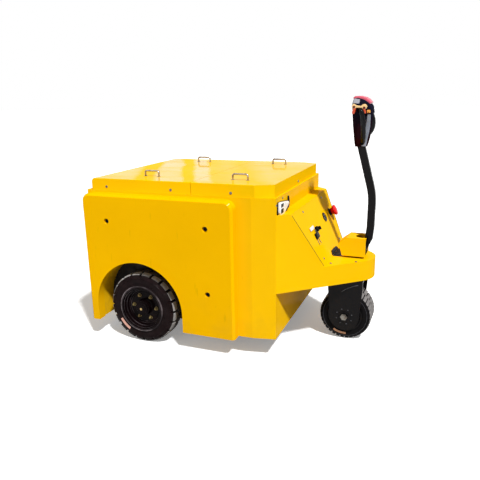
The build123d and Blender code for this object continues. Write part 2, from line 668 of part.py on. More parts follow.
def make_pivot_pin():
    """Pin of the tiller, held by the lugs."""
    reach = TUBE_WIDE / 2 + LUG_GAP + LUG_T
    pin = rod_y(at(PIVOT_X), PIVOT_UP, PIVOT_R, -reach, reach)
    for _, side in SIDES:
        pin += rod_y(at(PIVOT_X), PIVOT_UP, 1.5 * PIVOT_R, side * reach, side * (reach + PIN_HEAD))
    return pin


def hood_outline(inset, open_by):
    """Side outline of the hood, moved inwards, its underside and front moved out by open_by."""
    low, front = HEAD_UP - open_by, HOOD_FRONT + open_by
    outline = [(at(HOOD_FOOT + inset), low), (at(front), low), (at(front), HOOD_TOP - inset),
               (at(HOOD_RIDGE + inset / 2), HOOD_TOP - inset), (at(HOOD_BACK + inset), HOOD_BACK_UP - inset / 2)]
    return outline + ([(at(HOOD_FOOT + inset), HEAD_UP)] if open_by else [])


def make_hood():
    """Sheet hood over the steering head, open in front, with the slot for the tiller."""
    hood = upright(hood_outline(0, 0), -HOOD_HALF, HOOD_HALF)
    hood -= upright(hood_outline(HOOD_T, HOOD_HALF / 2), -HOOD_HALF + HOOD_T, HOOD_HALF - HOOD_T)
    x, half, low = at(HOOD_SLOT_BACK + HOOD_SLOT_HALF), HOOD_SLOT_HALF, HOOD_TOP - 2 * HOOD_T
    return hood - (rod_z(x, 0, half, low, FAR) + block(x, FAR, -half, half, low, FAR))


# Tiller

def tiller_path():
    """Centre line of the tiller tube."""
    corners = [(at(x), 0, z) for x, z, _ in TUBE_LINE]
    return FilletPolyline(*corners, radius=[r for _, _, r in TUBE_LINE[1:-1]])


def tube_bar(wall):
    """The tiller tube's outer form, or its bore where wall is its thickness."""
    path = tiller_path()
    section = Rectangle(TUBE_WIDE - 2 * wall, TUBE_DEEP - 2 * wall)
    section = fillet(section.vertices(), TUBE_ROUND - wall / 2)
    return sweep(Plane(origin=path @ 0, x_dir=(0, 1, 0), z_dir=path % 0) * section, path)


def make_tube():
    """Bent rectangular tube of the tiller."""
    return (tube_bar(0) - tube_bar(TUBE_WALL)) & block(-FAR, FAR, -FAR, FAR, TUBE_LOW + TUBE_JOIN, FAR)


def make_foot():
    """Foot of the tiller: boss on the pivot pin and the neck up to the tube."""
    x, z = at(PIVOT_X), PIVOT_UP
    middle, half, top = at(TUBE_LINE[0][0]), TUBE_DEEP / 2, TUBE_LOW + TUBE_JOIN
    neck = Polygon((x - BOSS_R, z), (x + BOSS_R, z), (middle + half, TUBE_LOW), (middle + half, top),
                   (middle - half, top), (middle - half, TUBE_LOW), align=None)
    foot = upright(neck + Pos(x, z) * Circle(BOSS_R), -TUBE_WIDE / 2, TUBE_WIDE / 2)
    return foot - rod_y(x, z, PIVOT_R + RUN_FIT, -FAR, FAR)


def make_housing():
    """Moulded head of the tiller, lofted through rounded sections, with the tube's socket in its foot."""
    sections = []
    for height, rear, front, half, radius in HOUSING:
        place = Pos(at((rear + front) / 2), 0, height)
        sections.append(place * RectangleRounded(front - rear, 2 * half, radius))
    return loft(sections, ruled=True) - tube_bar(0)


def make_grip(side, housing):
    """Bent round grip on one side of the head."""
    corners = [(at(GRIP_X), side * y, z) for y, z, _ in GRIP_LINE]
    path = FilletPolyline(*corners, radius=[r for _, _, r in GRIP_LINE[1:-1]])
    bar = sweep(Plane(origin=path @ 0, z_dir=path % 0) * Circle(GRIP_R), path)
    return (bar - housing).solids().sort_by(SortBy.VOLUME)[-1]


def make_belly_pad(housing):
    """Red safety pad over the top of the head."""
    pad = upright([(at(x), z) for x, z in PAD_SIDE], -PAD_HALF, PAD_HALF) - housing
    return pad.solids().sort_by(SortBy.VOLUME)[-1]


# Covers

def lid_plan(inset, front):
    """Plan of one cover, moved inwards by inset."""
    half = LID_HALF - inset
    if not front:
        x0, x1 = at(-LID_REAR) + inset, at(-LID_SEAM) - LID_SEAM_GAP / 2 - inset
        return [(x0, -half), (x1, -half), (x1, half), (x0, half)]
    slope = atan2(LID_CORNER_SIDE, LID_CORNER_LONG)
    x0, x1 = at(-LID_SEAM) + LID_SEAM_GAP / 2 + inset, at(-LID_FRONT) - inset
    x_corner = at(-LID_FRONT - LID_CORNER_LONG) - inset * tan(slope / 2)
    y_front = LID_HALF - LID_CORNER_SIDE - inset * tan((pi / 2 - slope) / 2)
    right = [(x0, -half), (x_corner, -half), (x1, -y_front)]
    return right + [(x, -y) for x, y in reversed(right)]


def lid_block(inset, front):
    """One cover as a full block, moved inwards by inset, the rear one with its rear edge bent round."""
    whole = slab(lid_plan(inset, front), LID_LOW - inset, LID_TOP - inset)
    if front:
        return whole
    rear_edge = whole.edges().filter_by(Axis.Y).group_by(Axis.Z)[-1].sort_by(Axis.X)[0]
    return fillet(rear_edge, LID_REAR_ROUND - inset)


def make_lid(front):
    """Cover: sheet pan turned over, its skirt cut short along the seam."""
    whole = lid_block(0, front)
    long_edges = whole.edges().filter_by(Axis.X).group_by(Axis.Z)[-1]
    lid = chamfer(long_edges, LID_BEVEL) - lid_block(LID_T, front)
    seam, half = at(-LID_SEAM), LID_HALF - LID_T
    return lid - block(seam - 2 * LID_T, seam + 2 * LID_T, -half, half, LID_LOW - 1, LID_TOP - LID_SEAM_LIP)


def make_handles(back):
    """Two lifting handles of one cover, each bent from one bar on two round feet."""
    handles = []
    half = HANDLE_LONG / 2 - HANDLE_R
    low, high = LID_TOP + HANDLE_FOOT_T / 2, LID_TOP + HANDLE_HIGH - HANDLE_R
    x = at(-back)
    for _, side in SIDES:
        y = side * HANDLE_Y
        path = FilletPolyline((x - half, y, low), (x - half, y, high), (x + half, y, high), (x + half, y, low),
                              radius=HANDLE_BEND)
        handle = sweep(Plane(origin=path @ 0, z_dir=path % 0) * Circle(HANDLE_R), path)
        for shift in (-half, half):
            handle += rod_z(x + shift, y, HANDLE_FOOT_R, LID_TOP, LID_TOP + HANDLE_FOOT_T)
        handles.append(handle)
    return handles


# Tow jaw

def make_jaw():
    """Tow jaw: mounting plate on the rear wall and two cheeks with the pin hole."""
    wall, end = at(-BODY_LENGTH), at(-TAIL_REACH)
    low, high = JAW_UP - JAW_GAP / 2 - JAW_T, JAW_UP + JAW_GAP / 2 + JAW_T
    jaw = block(wall - JAW_PLATE_T, wall, -JAW_PLATE_HALF, JAW_PLATE_HALF,
                JAW_UP - JAW_PLATE_HIGH, JAW_UP + JAW_PLATE_HIGH)
    x_pin = end + JAW_HALF
    cheeks = block(x_pin, wall - JAW_PLATE_T, -JAW_HALF, JAW_HALF, low, high)
    cheeks += rod_z(x_pin, 0, JAW_HALF, low, high)
    mouth = block(end - 1, wall - 2 * JAW_PLATE_T, -JAW_HALF - 1, JAW_HALF + 1,
                  JAW_UP - JAW_GAP / 2, JAW_UP + JAW_GAP / 2)
    return jaw + (cheeks - mouth) - rod_z(x_pin, 0, JAW_PIN_R, low - 1, high + 1)


def build():
    """Write every node."""
    for name, side in SIDES:
        save(f"side_wall_{name}", make_side_wall(side))
        save(f"ballast_plate_{name}", make_plate(side))
        save(f"wheel_house_{name}", make_wheel_house(side))
        save(f"tyre_{name}", make_tyre(side))
        save(f"rim_{name}", make_rim_disc(side))
        save(f"hub_cap_{name}", make_hub_cap(side))
    save("front_wall", make_end_wall(True))
    save("rear_wall", make_end_wall(False))
    save("body_rim", make_rim())
    save("floor_plate", make_floor())
    save("battery_bearers", *make_bearers())
    save("battery_block", make_battery())
    save("rear_axle", make_axle())
    save("tow_jaw", make_jaw())

    save("nose_shell", make_nose())
    save("dash_panel", make_dash())
    save("platform_cover", make_platform_cover())
    save("steering_bearing", make_bearing())
    save("battery_gauge", make_gauge())
    save("emergency_stop", make_stop())
    save("key_switch", make_key_switch())
    save("charging_socket", make_socket())

    save("drive_tyre", make_drive_tyre())
    save("drive_hub", make_drive_hub())
    save("drive_fork", make_fork())
    save("drive_axle", make_drive_axle())
    save("steering_post", make_post())
    save("steering_head", make_head())
    save("steering_hood", make_hood())
    save("pivot_pin", make_pivot_pin())

    housing = make_housing()
    save("tiller_foot", make_foot())
    save("tiller_tube", make_tube())
    save("tiller_housing", housing)
    save("tiller_grips", *[make_grip(side, housing) for _, side in SIDES])
    save("belly_pad", make_belly_pad(housing))

    for name, back in HANDLE_BACK.items():
        save(f"lid_{name}", make_lid(name == "front"))
        save(f"handles_{name}", *make_handles(back))


if __name__ == "__main__":
    os.makedirs("parts", exist_ok=True)
    build()
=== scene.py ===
import json
from math import cos, pi, radians, sin

import bpy
from bpy.props import FloatProperty, FloatVectorProperty, IntProperty, PointerProperty
from mathutils import Matrix, Vector


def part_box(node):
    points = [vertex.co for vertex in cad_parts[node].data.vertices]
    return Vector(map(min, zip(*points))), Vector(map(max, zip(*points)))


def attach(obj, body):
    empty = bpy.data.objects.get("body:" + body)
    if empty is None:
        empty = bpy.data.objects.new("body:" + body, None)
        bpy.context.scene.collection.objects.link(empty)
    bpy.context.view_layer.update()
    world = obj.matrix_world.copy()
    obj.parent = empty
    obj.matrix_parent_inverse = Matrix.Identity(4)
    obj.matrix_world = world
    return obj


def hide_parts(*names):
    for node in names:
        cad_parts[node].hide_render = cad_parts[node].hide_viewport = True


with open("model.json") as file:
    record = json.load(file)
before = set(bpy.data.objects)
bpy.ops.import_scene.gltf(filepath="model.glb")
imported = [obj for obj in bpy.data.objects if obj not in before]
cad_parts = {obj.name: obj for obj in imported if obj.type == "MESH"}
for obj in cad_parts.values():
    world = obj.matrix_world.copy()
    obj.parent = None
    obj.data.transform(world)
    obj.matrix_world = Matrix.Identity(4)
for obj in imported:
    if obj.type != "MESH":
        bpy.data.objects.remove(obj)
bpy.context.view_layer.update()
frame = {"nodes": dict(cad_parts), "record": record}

bl_info = {
    "name": "Tow tractor dressing",
    "version": (1, 0, 0),
    "blender": (4, 5, 0),
    "location": "3D View > Sidebar > Tow tractor",
    "description": "Dresses the CAD frame of a pedestrian tow tractor with finishes and fine pieces",
    "category": "Object",
}

# The CAD box, and the places that the pieces start from. Metres.
WALL_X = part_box("front_wall")[1][0]
TYRE_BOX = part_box("tyre_left")
RIM_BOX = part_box("rim_left")
DRIVE_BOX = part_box("drive_tyre")
AXLE_X = (TYRE_BOX[0][0] + TYRE_BOX[1][0]) / 2
TYRE_R = (TYRE_BOX[1][2] - TYRE_BOX[0][2]) / 2
TYRE_IN, TYRE_OUT = TYRE_BOX[0][1], TYRE_BOX[1][1]
TYRE_W = TYRE_OUT - TYRE_IN
RIM_FACE = RIM_BOX[1][1]
DRIVE_X = (DRIVE_BOX[0][0] + DRIVE_BOX[1][0]) / 2
DRIVE_R = (DRIVE_BOX[1][2] - DRIVE_BOX[0][2]) / 2
DRIVE_HALF = DRIVE_BOX[1][1]
SIDES = (("right", -1), ("left", 1))
AHEAD = (1, 0, 0)

DASH_SLOPE = (335.5, 162.5)       # rise and run of the dash
DASH_FOOT = (0.2315, 0.5365)      # its lower edge: distance from the front wall, and height
STOP_SPOT = (0.740, 0.281)        # the emergency stop's height, and its place across the dash
NUT_RING = 0.080                  # radius of the ring of wheel nuts
NUT_DEPTH = 0.052                 # how far their seat lies inside the rim's face
FORK_RING = 0.050                 # radius of the ring of bolts on the fork
ARC_STRIP_DEPTH = 0.0007
HEAD_HALF = 0.09                  # half the width of the block that the tiller head is cut from
GRIP_R = 0.0145                   # radius of the grips' bar

# How glossy the covers' lacquer is, laid out as painted reflections: the streaks lie aslant across the covers
# where reflections fall. First their place from the rear to the front, as a share of STREAK_ENDS, then the
# weight of the clear coat.
STREAK_RUN = (0.90, 0.44, 0.0)
STREAK_ENDS = (-0.65, 0.45)
COVER_REFLECTION_STREAKS = [(0.0, 0.75), (0.045, 0.60), (0.075, 0.10), (0.155, 0.12), (0.185, 1.0), (0.30, 0.85),
                 (0.325, 0.10), (0.375, 0.12), (0.40, 1.0), (0.46, 1.0), (0.485, 0.28), (0.60, 0.40),
                 (0.70, 0.22), (0.80, 0.60), (0.92, 0.50), (1.0, 0.60)]

# Linear colours.
WHITE = (1.0, 1.0, 1.0, 1.0)
FLOOR_GREY = (0.30, 0.297, 0.29, 1.0)
SKY_LIGHT = (1.0, 0.99, 0.97, 1.0)
ROAD_DUST = (0.16, 0.10, 0.045, 1.0)
WET_MUD = (0.06, 0.042, 0.028, 1.0)
TREAD_DUST = (0.24, 0.235, 0.23, 1.0)
# Pale colour of the rims' painted highlights.
RIM_HIGHLIGHT = (0.26, 0.22, 0.23, 1.0)


# Helpers for modelling

def calm():
    """Object mode, with nothing selected."""
    if bpy.context.object and bpy.context.object.mode != "OBJECT":
        bpy.ops.object.mode_set(mode="OBJECT")
    bpy.ops.object.select_all(action="DESELECT")


def pick(*pieces):
    """Select these pieces, the first of them active."""
    calm()
    for piece in pieces:
        piece.select_set(True)
    bpy.context.view_layer.objects.active = pieces[0]


def settle(piece, matrix=None):
    """Put the piece at its place and bring that place into its mesh."""
    pick(piece)
    if matrix is not None:
        piece.matrix_world = matrix
    bpy.ops.object.transform_apply(location=True, rotation=True, scale=True)
    return piece


def facing(place, axis, turn=0.0):
    """Matrix that stands a piece built along Z on a place, along an axis."""
    lean = Vector(axis).to_track_quat("Z", "Y").to_matrix().to_4x4()
    return Matrix.Translation(place) @ lean @ Matrix.Rotation(turn, 4, "Z")


def outwards():
    """Edit mode: faces of the whole mesh point outwards."""
    bpy.ops.mesh.select_all(action="SELECT")
    bpy.ops.mesh.remove_doubles(threshold=0.00001)
    bpy.ops.mesh.normals_make_consistent(inside=False)


def turned(name, profile, sides, ring=False):
    """Turn a profile of radius and height about Z; a ring closes back on its first point."""
    calm()
    radius, height = profile[0]
    bpy.ops.mesh.primitive_circle_add(vertices=sides, radius=radius, location=(0, 0, height),
                                      fill_type="NOTHING" if ring else "NGON")
    piece = bpy.context.object
    piece.name = name
    settle(piece)
    bpy.ops.object.mode_set(mode="EDIT")
    bpy.ops.mesh.select_all(action="SELECT")
    for r, h in [*profile[1:], profile[0]] if ring else profile[1:]:
        bpy.ops.mesh.extrude_region_move(TRANSFORM_OT_translate={"value": (0, 0, h - height)})
        bpy.ops.transform.resize(value=(r / radius, r / radius, 1), center_override=(0, 0, 0))
        radius, height = r, h
    outwards()
    bpy.ops.object.mode_set(mode="OBJECT")
    return piece


def drawn(name, outline, depth):
    """Draw an outline in XY point by point, fill it and raise it by depth."""
    calm()
    bpy.ops.mesh.primitive_plane_add(size=0.01)
    piece = bpy.context.object
    piece.name = name
    bpy.ops.object.mode_set(mode="EDIT")
    bpy.ops.mesh.select_all(action="SELECT")
    bpy.ops.mesh.merge(type="CENTER")
    bpy.ops.transform.translate(value=(outline[0][0], outline[0][1], 0))
    for before, after in zip(outline, outline[1:]):
        step = (after[0] - before[0], after[1] - before[1], 0)
        bpy.ops.mesh.extrude_region_move(TRANSFORM_OT_translate={"value": step})
    bpy.ops.mesh.select_all(action="SELECT")
    bpy.ops.mesh.edge_face_add()
    bpy.ops.mesh.extrude_region_move(TRANSFORM_OT_translate={"value": (0, 0, depth)})
    outwards()
    bpy.ops.object.mode_set(mode="OBJECT")
    return piece


def arc_strip(name, centre, radii, degrees):
    """Thin curved strip drawn round a centre, between two radii and two angles."""
    parts = 16
    start, end = degrees
    turns = [radians(start + (end - start) * i / parts) for i in range(parts + 1)]
    outline = [(centre[0] + radii[1] * cos(a), centre[1] + radii[1] * sin(a)) for a in turns]
    outline += [(centre[0] + radii[0] * cos(a), centre[1] + radii[0] * sin(a)) for a in reversed(turns)]
    return drawn(name, outline, ARC_STRIP_DEPTH)


def rods(name, points, radius):
    """Round bar or cable along points, with a ball at each bend."""
    made = []
    for start, end in zip(points, points[1:]):
        run = Vector(end) - Vector(start)
        bar = turned(name, [(radius, 0), (radius, run.length)], 16)
        made.append(smooth(settle(bar, facing(start, run)), 60))
    for bend in points[1:-1]:
        calm()
        bpy.ops.mesh.primitive_uv_sphere_add(segments=16, ring_count=8, radius=radius, location=bend)
        made.append(smooth(settle(bpy.context.object), 60))
    return joined(name, made)


def at(u, y, z):
    """Place from millimetres: along from the front wall, across, and up."""
    return Vector((WALL_X + u / 1000, y / 1000, z / 1000))


def from_wall(outline):
    """Points of x and z in metres, from millimetres along from the front wall and up."""
    return [(WALL_X + u / 1000, z / 1000) for u, z in outline]


def side_view(y):
    """Matrix that lays a drawing of x and z on the plane of y, its depth running to -Y."""
    return Matrix.Translation((0, y, 0)) @ Matrix.Rotation(pi / 2, 4, "X")


def beside(side, face, depth, proud=0.0004):
    """Matrix that lays a side drawing of some depth on one side's face, a little proud of it."""
    return side_view(side * face + (proud if side > 0 else depth - proud))


def front_view(x):
    """Matrix that lays a drawing of y and z on the plane of x, its depth running to +X."""
    return Matrix.Translation((x, 0, 0)) @ Matrix(((0, 0, 1, 0), (1, 0, 0, 0), (0, 1, 0, 0), (0, 0, 0, 1)))


def side_form(name, outline, half):
    """Side outline in millimetres from the front wall, carried across the machine to half each way."""
    return settle(drawn(name, from_wall(outline), 2 * half), side_view(half))


def bolt_circle(place, side, radius, count, start, twist):
    """Places evenly round one on a side of the machine, each turned a twist further."""
    x, y, z = place
    spots = []
    for i in range(count):
        angle = 2 * pi * i / count + start
        spots.append(facing((x + radius * cos(angle), y, z + radius * sin(angle)), (0, side, 0), twist * i))
    return spots


def block(name, size, bevel, steps):
    """Block on the XY plane with rounded edges."""
    calm()
    bpy.ops.mesh.primitive_cube_add(size=1, location=(0, 0, size[2] / 2))
    piece = bpy.context.object
    piece.name = name
    piece.scale = size
    settle(piece)
    bpy.ops.object.mode_set(mode="EDIT")
    bpy.ops.mesh.select_all(action="SELECT")
    bpy.ops.mesh.bevel(offset=bevel, segments=steps, affect="EDGES")
    bpy.ops.object.mode_set(mode="OBJECT")
    return piece


def torus(place, major, minor, sides):
    """Round ring of round bar, standing on a place by its matrix."""
    calm()
    bpy.ops.mesh.primitive_torus_add(major_radius=major, minor_radius=minor, major_segments=sides,
                                     minor_segments=8)
    return settle(bpy.context.object, place)


def modify(piece, kind, **settings):
    """Add a modifier, set it and apply it."""
    pick(piece)
    modifier = piece.modifiers.new(kind.title(), kind)
    for key, value in settings.items():
        setattr(modifier, key, value)
    bpy.ops.object.modifier_apply(modifier=modifier.name)


def cut(piece, tool, operation="DIFFERENCE"):
    """Cut the piece with a tool, which is then removed."""
    modify(piece, "BOOLEAN", object=tool, operation=operation, solver="EXACT")
    bpy.data.objects.remove(tool)
    return piece


def smooth(piece, angle=30.0):
    """Smooth shading, with edges over the angle left sharp."""
    pick(piece)
    bpy.ops.object.shade_smooth_by_angle(angle=radians(angle))
    return piece


def soften(piece, width, segments, angle=30.0):
    """Round the edges that turn by more than the angle, and shade the piece smooth."""
    modify(piece, "BEVEL", width=width, segments=segments, limit_method="ANGLE", angle_limit=radians(angle))
    return smooth(piece, angle)


def evened(piece, voxel, passes):
    """Flow the piece's parts into one skin and even it out."""
    modify(piece, "REMESH", mode="VOXEL", voxel_size=voxel)
    modify(piece, "SMOOTH", factor=0.5, iterations=passes)
    return smooth(piece, 60)


def twin(piece):
    """Copy of the piece with a mesh of its own."""
    other = piece.copy()
    other.data = piece.data.copy()
    bpy.context.collection.objects.link(other)
    return other


def copies(piece, name, matrices):
    """One mesh from a copy of the piece at each place; the first piece is used up."""
    made = []
    for matrix in matrices:
        made.append(twin(piece))
        made[-1].matrix_world = matrix
    bpy.data.objects.remove(piece)
    return joined(name, made)


def joined(name, pieces):
    """Several pieces made one mesh."""
    pick(*pieces)
    if len(pieces) > 1:
        bpy.ops.object.join()
    whole = bpy.context.object
    whole.name = name
    return settle(whole)


def finish_piece(piece, body, finish):
    """Give the piece the finish of that name and let it ride on its body."""
    material = bpy.data.materials[finish]
    piece.data.materials.clear()
    piece.data.materials.append(material)
    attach(piece, body)


# Materials

def linear(colour):
    """Linear values of a colour as it shows on a screen."""
    return [c / 12.92 if c <= 0.04045 else ((c + 0.055) / 1.055) ** 2.4 for c in colour]


def shade(colour, factor):
    """The colour lighter or darker by a factor, with alpha."""
    return (*[min(1.0, c * factor) for c in colour], 1.0)


def add_node(tree, kind, inputs=None, **settings):
    """Add a node to a tree, set it and link or fill its inputs."""
    node = tree.nodes.new(kind)
    for key, value in settings.items():
        setattr(node, key, value)
    for key, value in (inputs or {}).items():
        if isinstance(value, bpy.types.NodeSocket):
            tree.links.new(value, node.inputs[key])
        else:
            node.inputs[key].default_value = value
    return node


class Finish:
    """Node tree of one material, built step by step."""

    def __init__(self, name, colour, roughness, **sockets):
        self.material = bpy.data.materials.new(name)
        self.material.use_nodes = True
        self.tree = self.material.node_tree
        self.shader = self.tree.nodes["Principled BSDF"]
        self.colour = linear(colour)
        self.place = self.node("ShaderNodeTexCoord").outputs["Object"]
        self.height = None
        self.fill(Base_Color=shade(self.colour, 1), Roughness=roughness, **sockets)

    def fill(self, **sockets):
        """Set inputs of the shader to plain values."""
        for key, value in sockets.items():
            self.shader.inputs[key.replace("_", " ")].default_value = value

    def paint(self, socket, value):
        """Feed one input of the shader."""
        self.tree.links.new(value, self.shader.inputs[socket])

    def node(self, kind, inputs=None, **settings):
        """Add a node to this material."""
        return add_node(self.tree, kind, inputs, **settings)

    def noise(self, scale, detail, stretch=None):
        """Noise over the piece's own coordinates."""
        place = self.place
        if stretch:
            place = self.node("ShaderNodeMapping", {"Vector": place, "Scale": stretch}).outputs["Vector"]
        found = self.node("ShaderNodeTexNoise", {"Vector": place, "Scale": scale, "Detail": detail,
                                                 "Roughness": 0.55})
        return found.outputs["Fac"]

    def spread(self, value, low, high, to_low=0.0, to_high=1.0):
        """A value brought from one range to another."""
        return self.node("ShaderNodeMapRange", {"Value": value, "From Min": low, "From Max": high,
                                                "To Min": to_low, "To Max": to_high}).outputs["Result"]

    def ramp(self, value, stops):
        """Colours along a value."""
        node = self.node("ShaderNodeValToRGB", {"Fac": value})
        for place, colour in stops[:-2]:
            node.color_ramp.elements.new(place)
        for element, (place, colour) in zip(node.color_ramp.elements, stops):
            element.position, element.color = place, colour
        return node.outputs["Color"]

    def patches(self, colour, scale, detail, dark, light):
        """The colour with patches that are softly darker and lighter."""
        return self.ramp(self.noise(scale, detail), [(0.3, shade(colour, dark)), (0.7, shade(colour, light))])

    def mix(self, factor, first, second):
        """Two colours mixed by a factor."""
        return self.node("ShaderNodeMix", {0: factor, 6: first, 7: second}, data_type="RGBA").outputs[2]

    def maths(self, operation, *values):
        """Values brought together by one operation."""
        return self.node("ShaderNodeMath", dict(enumerate(values)), operation=operation).outputs["Value"]

    def times(self, first, second):
        """Two values multiplied."""
        return self.maths("MULTIPLY", first, second)

    def most(self, first, second):
        """The greater of two values."""
        return self.maths("MAXIMUM", first, second)

    def along(self, axis):
        """The place along one axis."""
        return self.node("ShaderNodeSeparateXYZ", {"Vector": self.place}).outputs[axis]

    def low_down(self, low, high):
        """1 below the lower height, 0 above the higher one."""
        return self.spread(self.along("Z"), low, high, 1.0, 0.0)

    def beyond(self, edge):
        """0 nearer to the middle of the machine than the edge, 1 outside it."""
        return self.spread(self.maths("ABSOLUTE", self.along("Y")), edge - 0.003, edge + 0.003)

    def radius(self, x, z):
        """Distance from an axis that runs across the machine."""
        away = self.node("ShaderNodeVectorMath", {0: self.place, 1: (x, 0, z)}, operation="SUBTRACT")
        flat = self.node("ShaderNodeVectorMath", {0: away.outputs["Vector"], 1: (1, 0, 1)},
                         operation="MULTIPLY")
        length = self.node("ShaderNodeVectorMath", {0: flat.outputs["Vector"]}, operation="LENGTH")
        return length.outputs["Value"]

    def rough(self, scale, detail, low, high, ends=(0.3, 0.7)):
        """Roughness that wanders between two values."""
        self.paint("Roughness", self.spread(self.noise(scale, detail), *ends, low, high))

    def bump(self, value, distance, strength):
        """Add relief; several reliefs are stacked."""
        inputs = {"Height": value, "Distance": distance, "Strength": strength}
        if self.height is not None:
            inputs["Normal"] = self.height
        self.height = self.node("ShaderNodeBump", inputs).outputs["Normal"]
        self.paint("Normal", self.height)


def sprayed(name, colour, roughness, coat, dirt, shine, peel=0.0002, scuff=0.05):
    """Sprayed paint: soft tone changes, orange peel, dust that gathers low down and fine scuffs."""
    f = Finish(name, colour, roughness, Coat_Weight=coat, Coat_Roughness=0.12, Specular_IOR_Level=shine)
    dust = f.times(f.low_down(0.10, 0.42), f.spread(f.noise(9, 6), 0.42, 0.72))
    tone = f.mix(f.times(dust, dirt), f.patches(f.colour, 1.7, 4, 0.95, 1.03), ROAD_DUST)
    marks = f.spread(f.noise(38, 5, (1, 1, 0.18)), 0.66, 0.74)
    f.paint("Base Color", f.mix(f.times(marks, scuff * 4), tone, shade(f.colour, 0.62)))
    f.rough(14, 5, roughness - 0.07, roughness + 0.12, (0.3, 0.75))
    f.bump(f.noise(420, 2), peel, 0.5)
    f.bump(f.noise(3.2, 2), 0.0016, 0.22)


def lacquered(name, colour):
    """Thick glossy paint on thin sheet: painted reflections as aslant streaks of heavier clear coat, only on
    faces that point up, and slight waves, which break up what it mirrors.
    """
    f = Finish(name, colour, 0.22, Coat_Roughness=0.03, Specular_IOR_Level=0.0)
    f.paint("Base Color", f.patches(f.colour, 2.1, 4, 0.94, 1.04))
    # Painted reflections: bands of heavier clear coat laid where reflections fall, broken up by clouds; faces
    # that point sideways or down get none.
    run = f.node("ShaderNodeVectorMath", {0: f.place, 1: STREAK_RUN}, operation="DOT_PRODUCT")
    run = f.maths("ADD", run.outputs["Value"], f.times(f.noise(3.4, 3), 0.10))
    streaks = [(spot, (gloss, gloss, gloss, 1.0)) for spot, gloss in COVER_REFLECTION_STREAKS]
    bands = f.ramp(f.spread(run, *STREAK_ENDS), streaks)
    clouds = f.noise(11, 4, (0.5, 1.0, 1.0))
    reflection_weight = f.times(bands, f.spread(clouds, 0.30, 0.62, 0.55, 1.0))
    normal = f.node("ShaderNodeNewGeometry").outputs["Normal"]
    upward = f.node("ShaderNodeSeparateXYZ", {"Vector": normal}).outputs["Z"]
    f.paint("Coat Weight", f.times(f.spread(upward, 0.3, 0.9), reflection_weight))
    f.paint("Coat Roughness", f.spread(clouds, 0.3, 0.7, 0.02, 0.12))
    f.rough(14, 5, 0.16, 0.34, (0.3, 0.75))
    f.bump(f.noise(420, 2), 0.00005, 0.4)
    f.bump(f.noise(4.5, 1, (1.0, 0.5, 1.0)), 0.004, 0.35)


def arch_paint(name, inside, outside, edge):
    """Sheet that is black inside the body and body colour in the arch, with mud thrown by the wheel."""
    f = Finish(name, inside, 0.6, Specular_IOR_Level=0.2)
    skin = f.mix(f.beyond(edge), shade(f.colour, 1), shade(linear(outside), 0.9))
    mud = f.spread(f.noise(7, 7), 0.48, 0.78, 0.0, 0.7)
    f.paint("Base Color", f.mix(mud, skin, WET_MUD))
    f.rough(20, 5, 0.45, 0.8)
    f.bump(f.noise(120, 5), 0.0006, 0.5)


def moulded(name, colour, roughness, grain=900.0, depth=0.00012, coat=0.0, shine=0.3):
    """Moulded plastic with a fine grain and slightly shiny rubbed places."""
    f = Finish(name, colour, roughness, Coat_Weight=coat, Coat_Roughness=0.08, Specular_IOR_Level=shine)
    f.paint("Base Color", f.patches(f.colour, 24, 4, 0.86, 1.12))
    f.rough(30, 5, roughness - 0.08, roughness + 0.1)
    f.bump(f.noise(grain, 2), depth, 0.6)


def rubber(name, tread, wall, edge, axle, floor, dusty, shoulder):
    """Tyre rubber: dusty pale tread faces, black in the grooves, partly painted shade, the middle of the
    tread inside the shoulder painted dark as shade, darker and glossier side walls.
    """
    f = Finish(name, tread, 0.72)
    walls = f.beyond(edge)
    # The grooves take the side walls' dark colour: partly the rubber's own colour under the dusty faces,
    # partly painted shade in the recesses.
    grooves = f.spread(f.radius(*axle), floor, floor + 0.001, 1.0, 0.0)
    # Painted shade: inside the shoulder the middle of the tread is darkened towards the side walls' colour.
    middle = f.spread(f.beyond(shoulder), 0.0, 1.0, 0.85, 0.0)
    sunk_and_shaded = f.most(f.most(walls, grooves), middle)
    dust = f.times(f.spread(f.noise(16, 7), 0.40, 0.75, 0.15, dusty), f.spread(sunk_and_shaded, 0.0, 1.0, 1.0, 0.05))
    wear_and_highlight = f.patches(f.colour, 40, 4, 0.7, 1.3)
    clean = f.patches(linear(wall), 18, 5, 0.6, 1.4)
    f.paint("Base Color", f.mix(dust, f.mix(sunk_and_shaded, wear_and_highlight, clean), TREAD_DUST))
    smear = f.spread(f.noise(22, 5), 0.3, 0.7, 0.24, 0.40)
    f.paint("Roughness", f.maths("ADD", smear, f.spread(walls, 0.0, 1.0, 0.48, 0.0)))
    f.paint("Specular IOR Level", f.spread(walls, 0.0, 1.0, 0.05, 0.03))
    f.bump(f.noise(700, 3), 0.00025, 0.6)
    f.bump(f.noise(60, 4), 0.0006, 0.35)


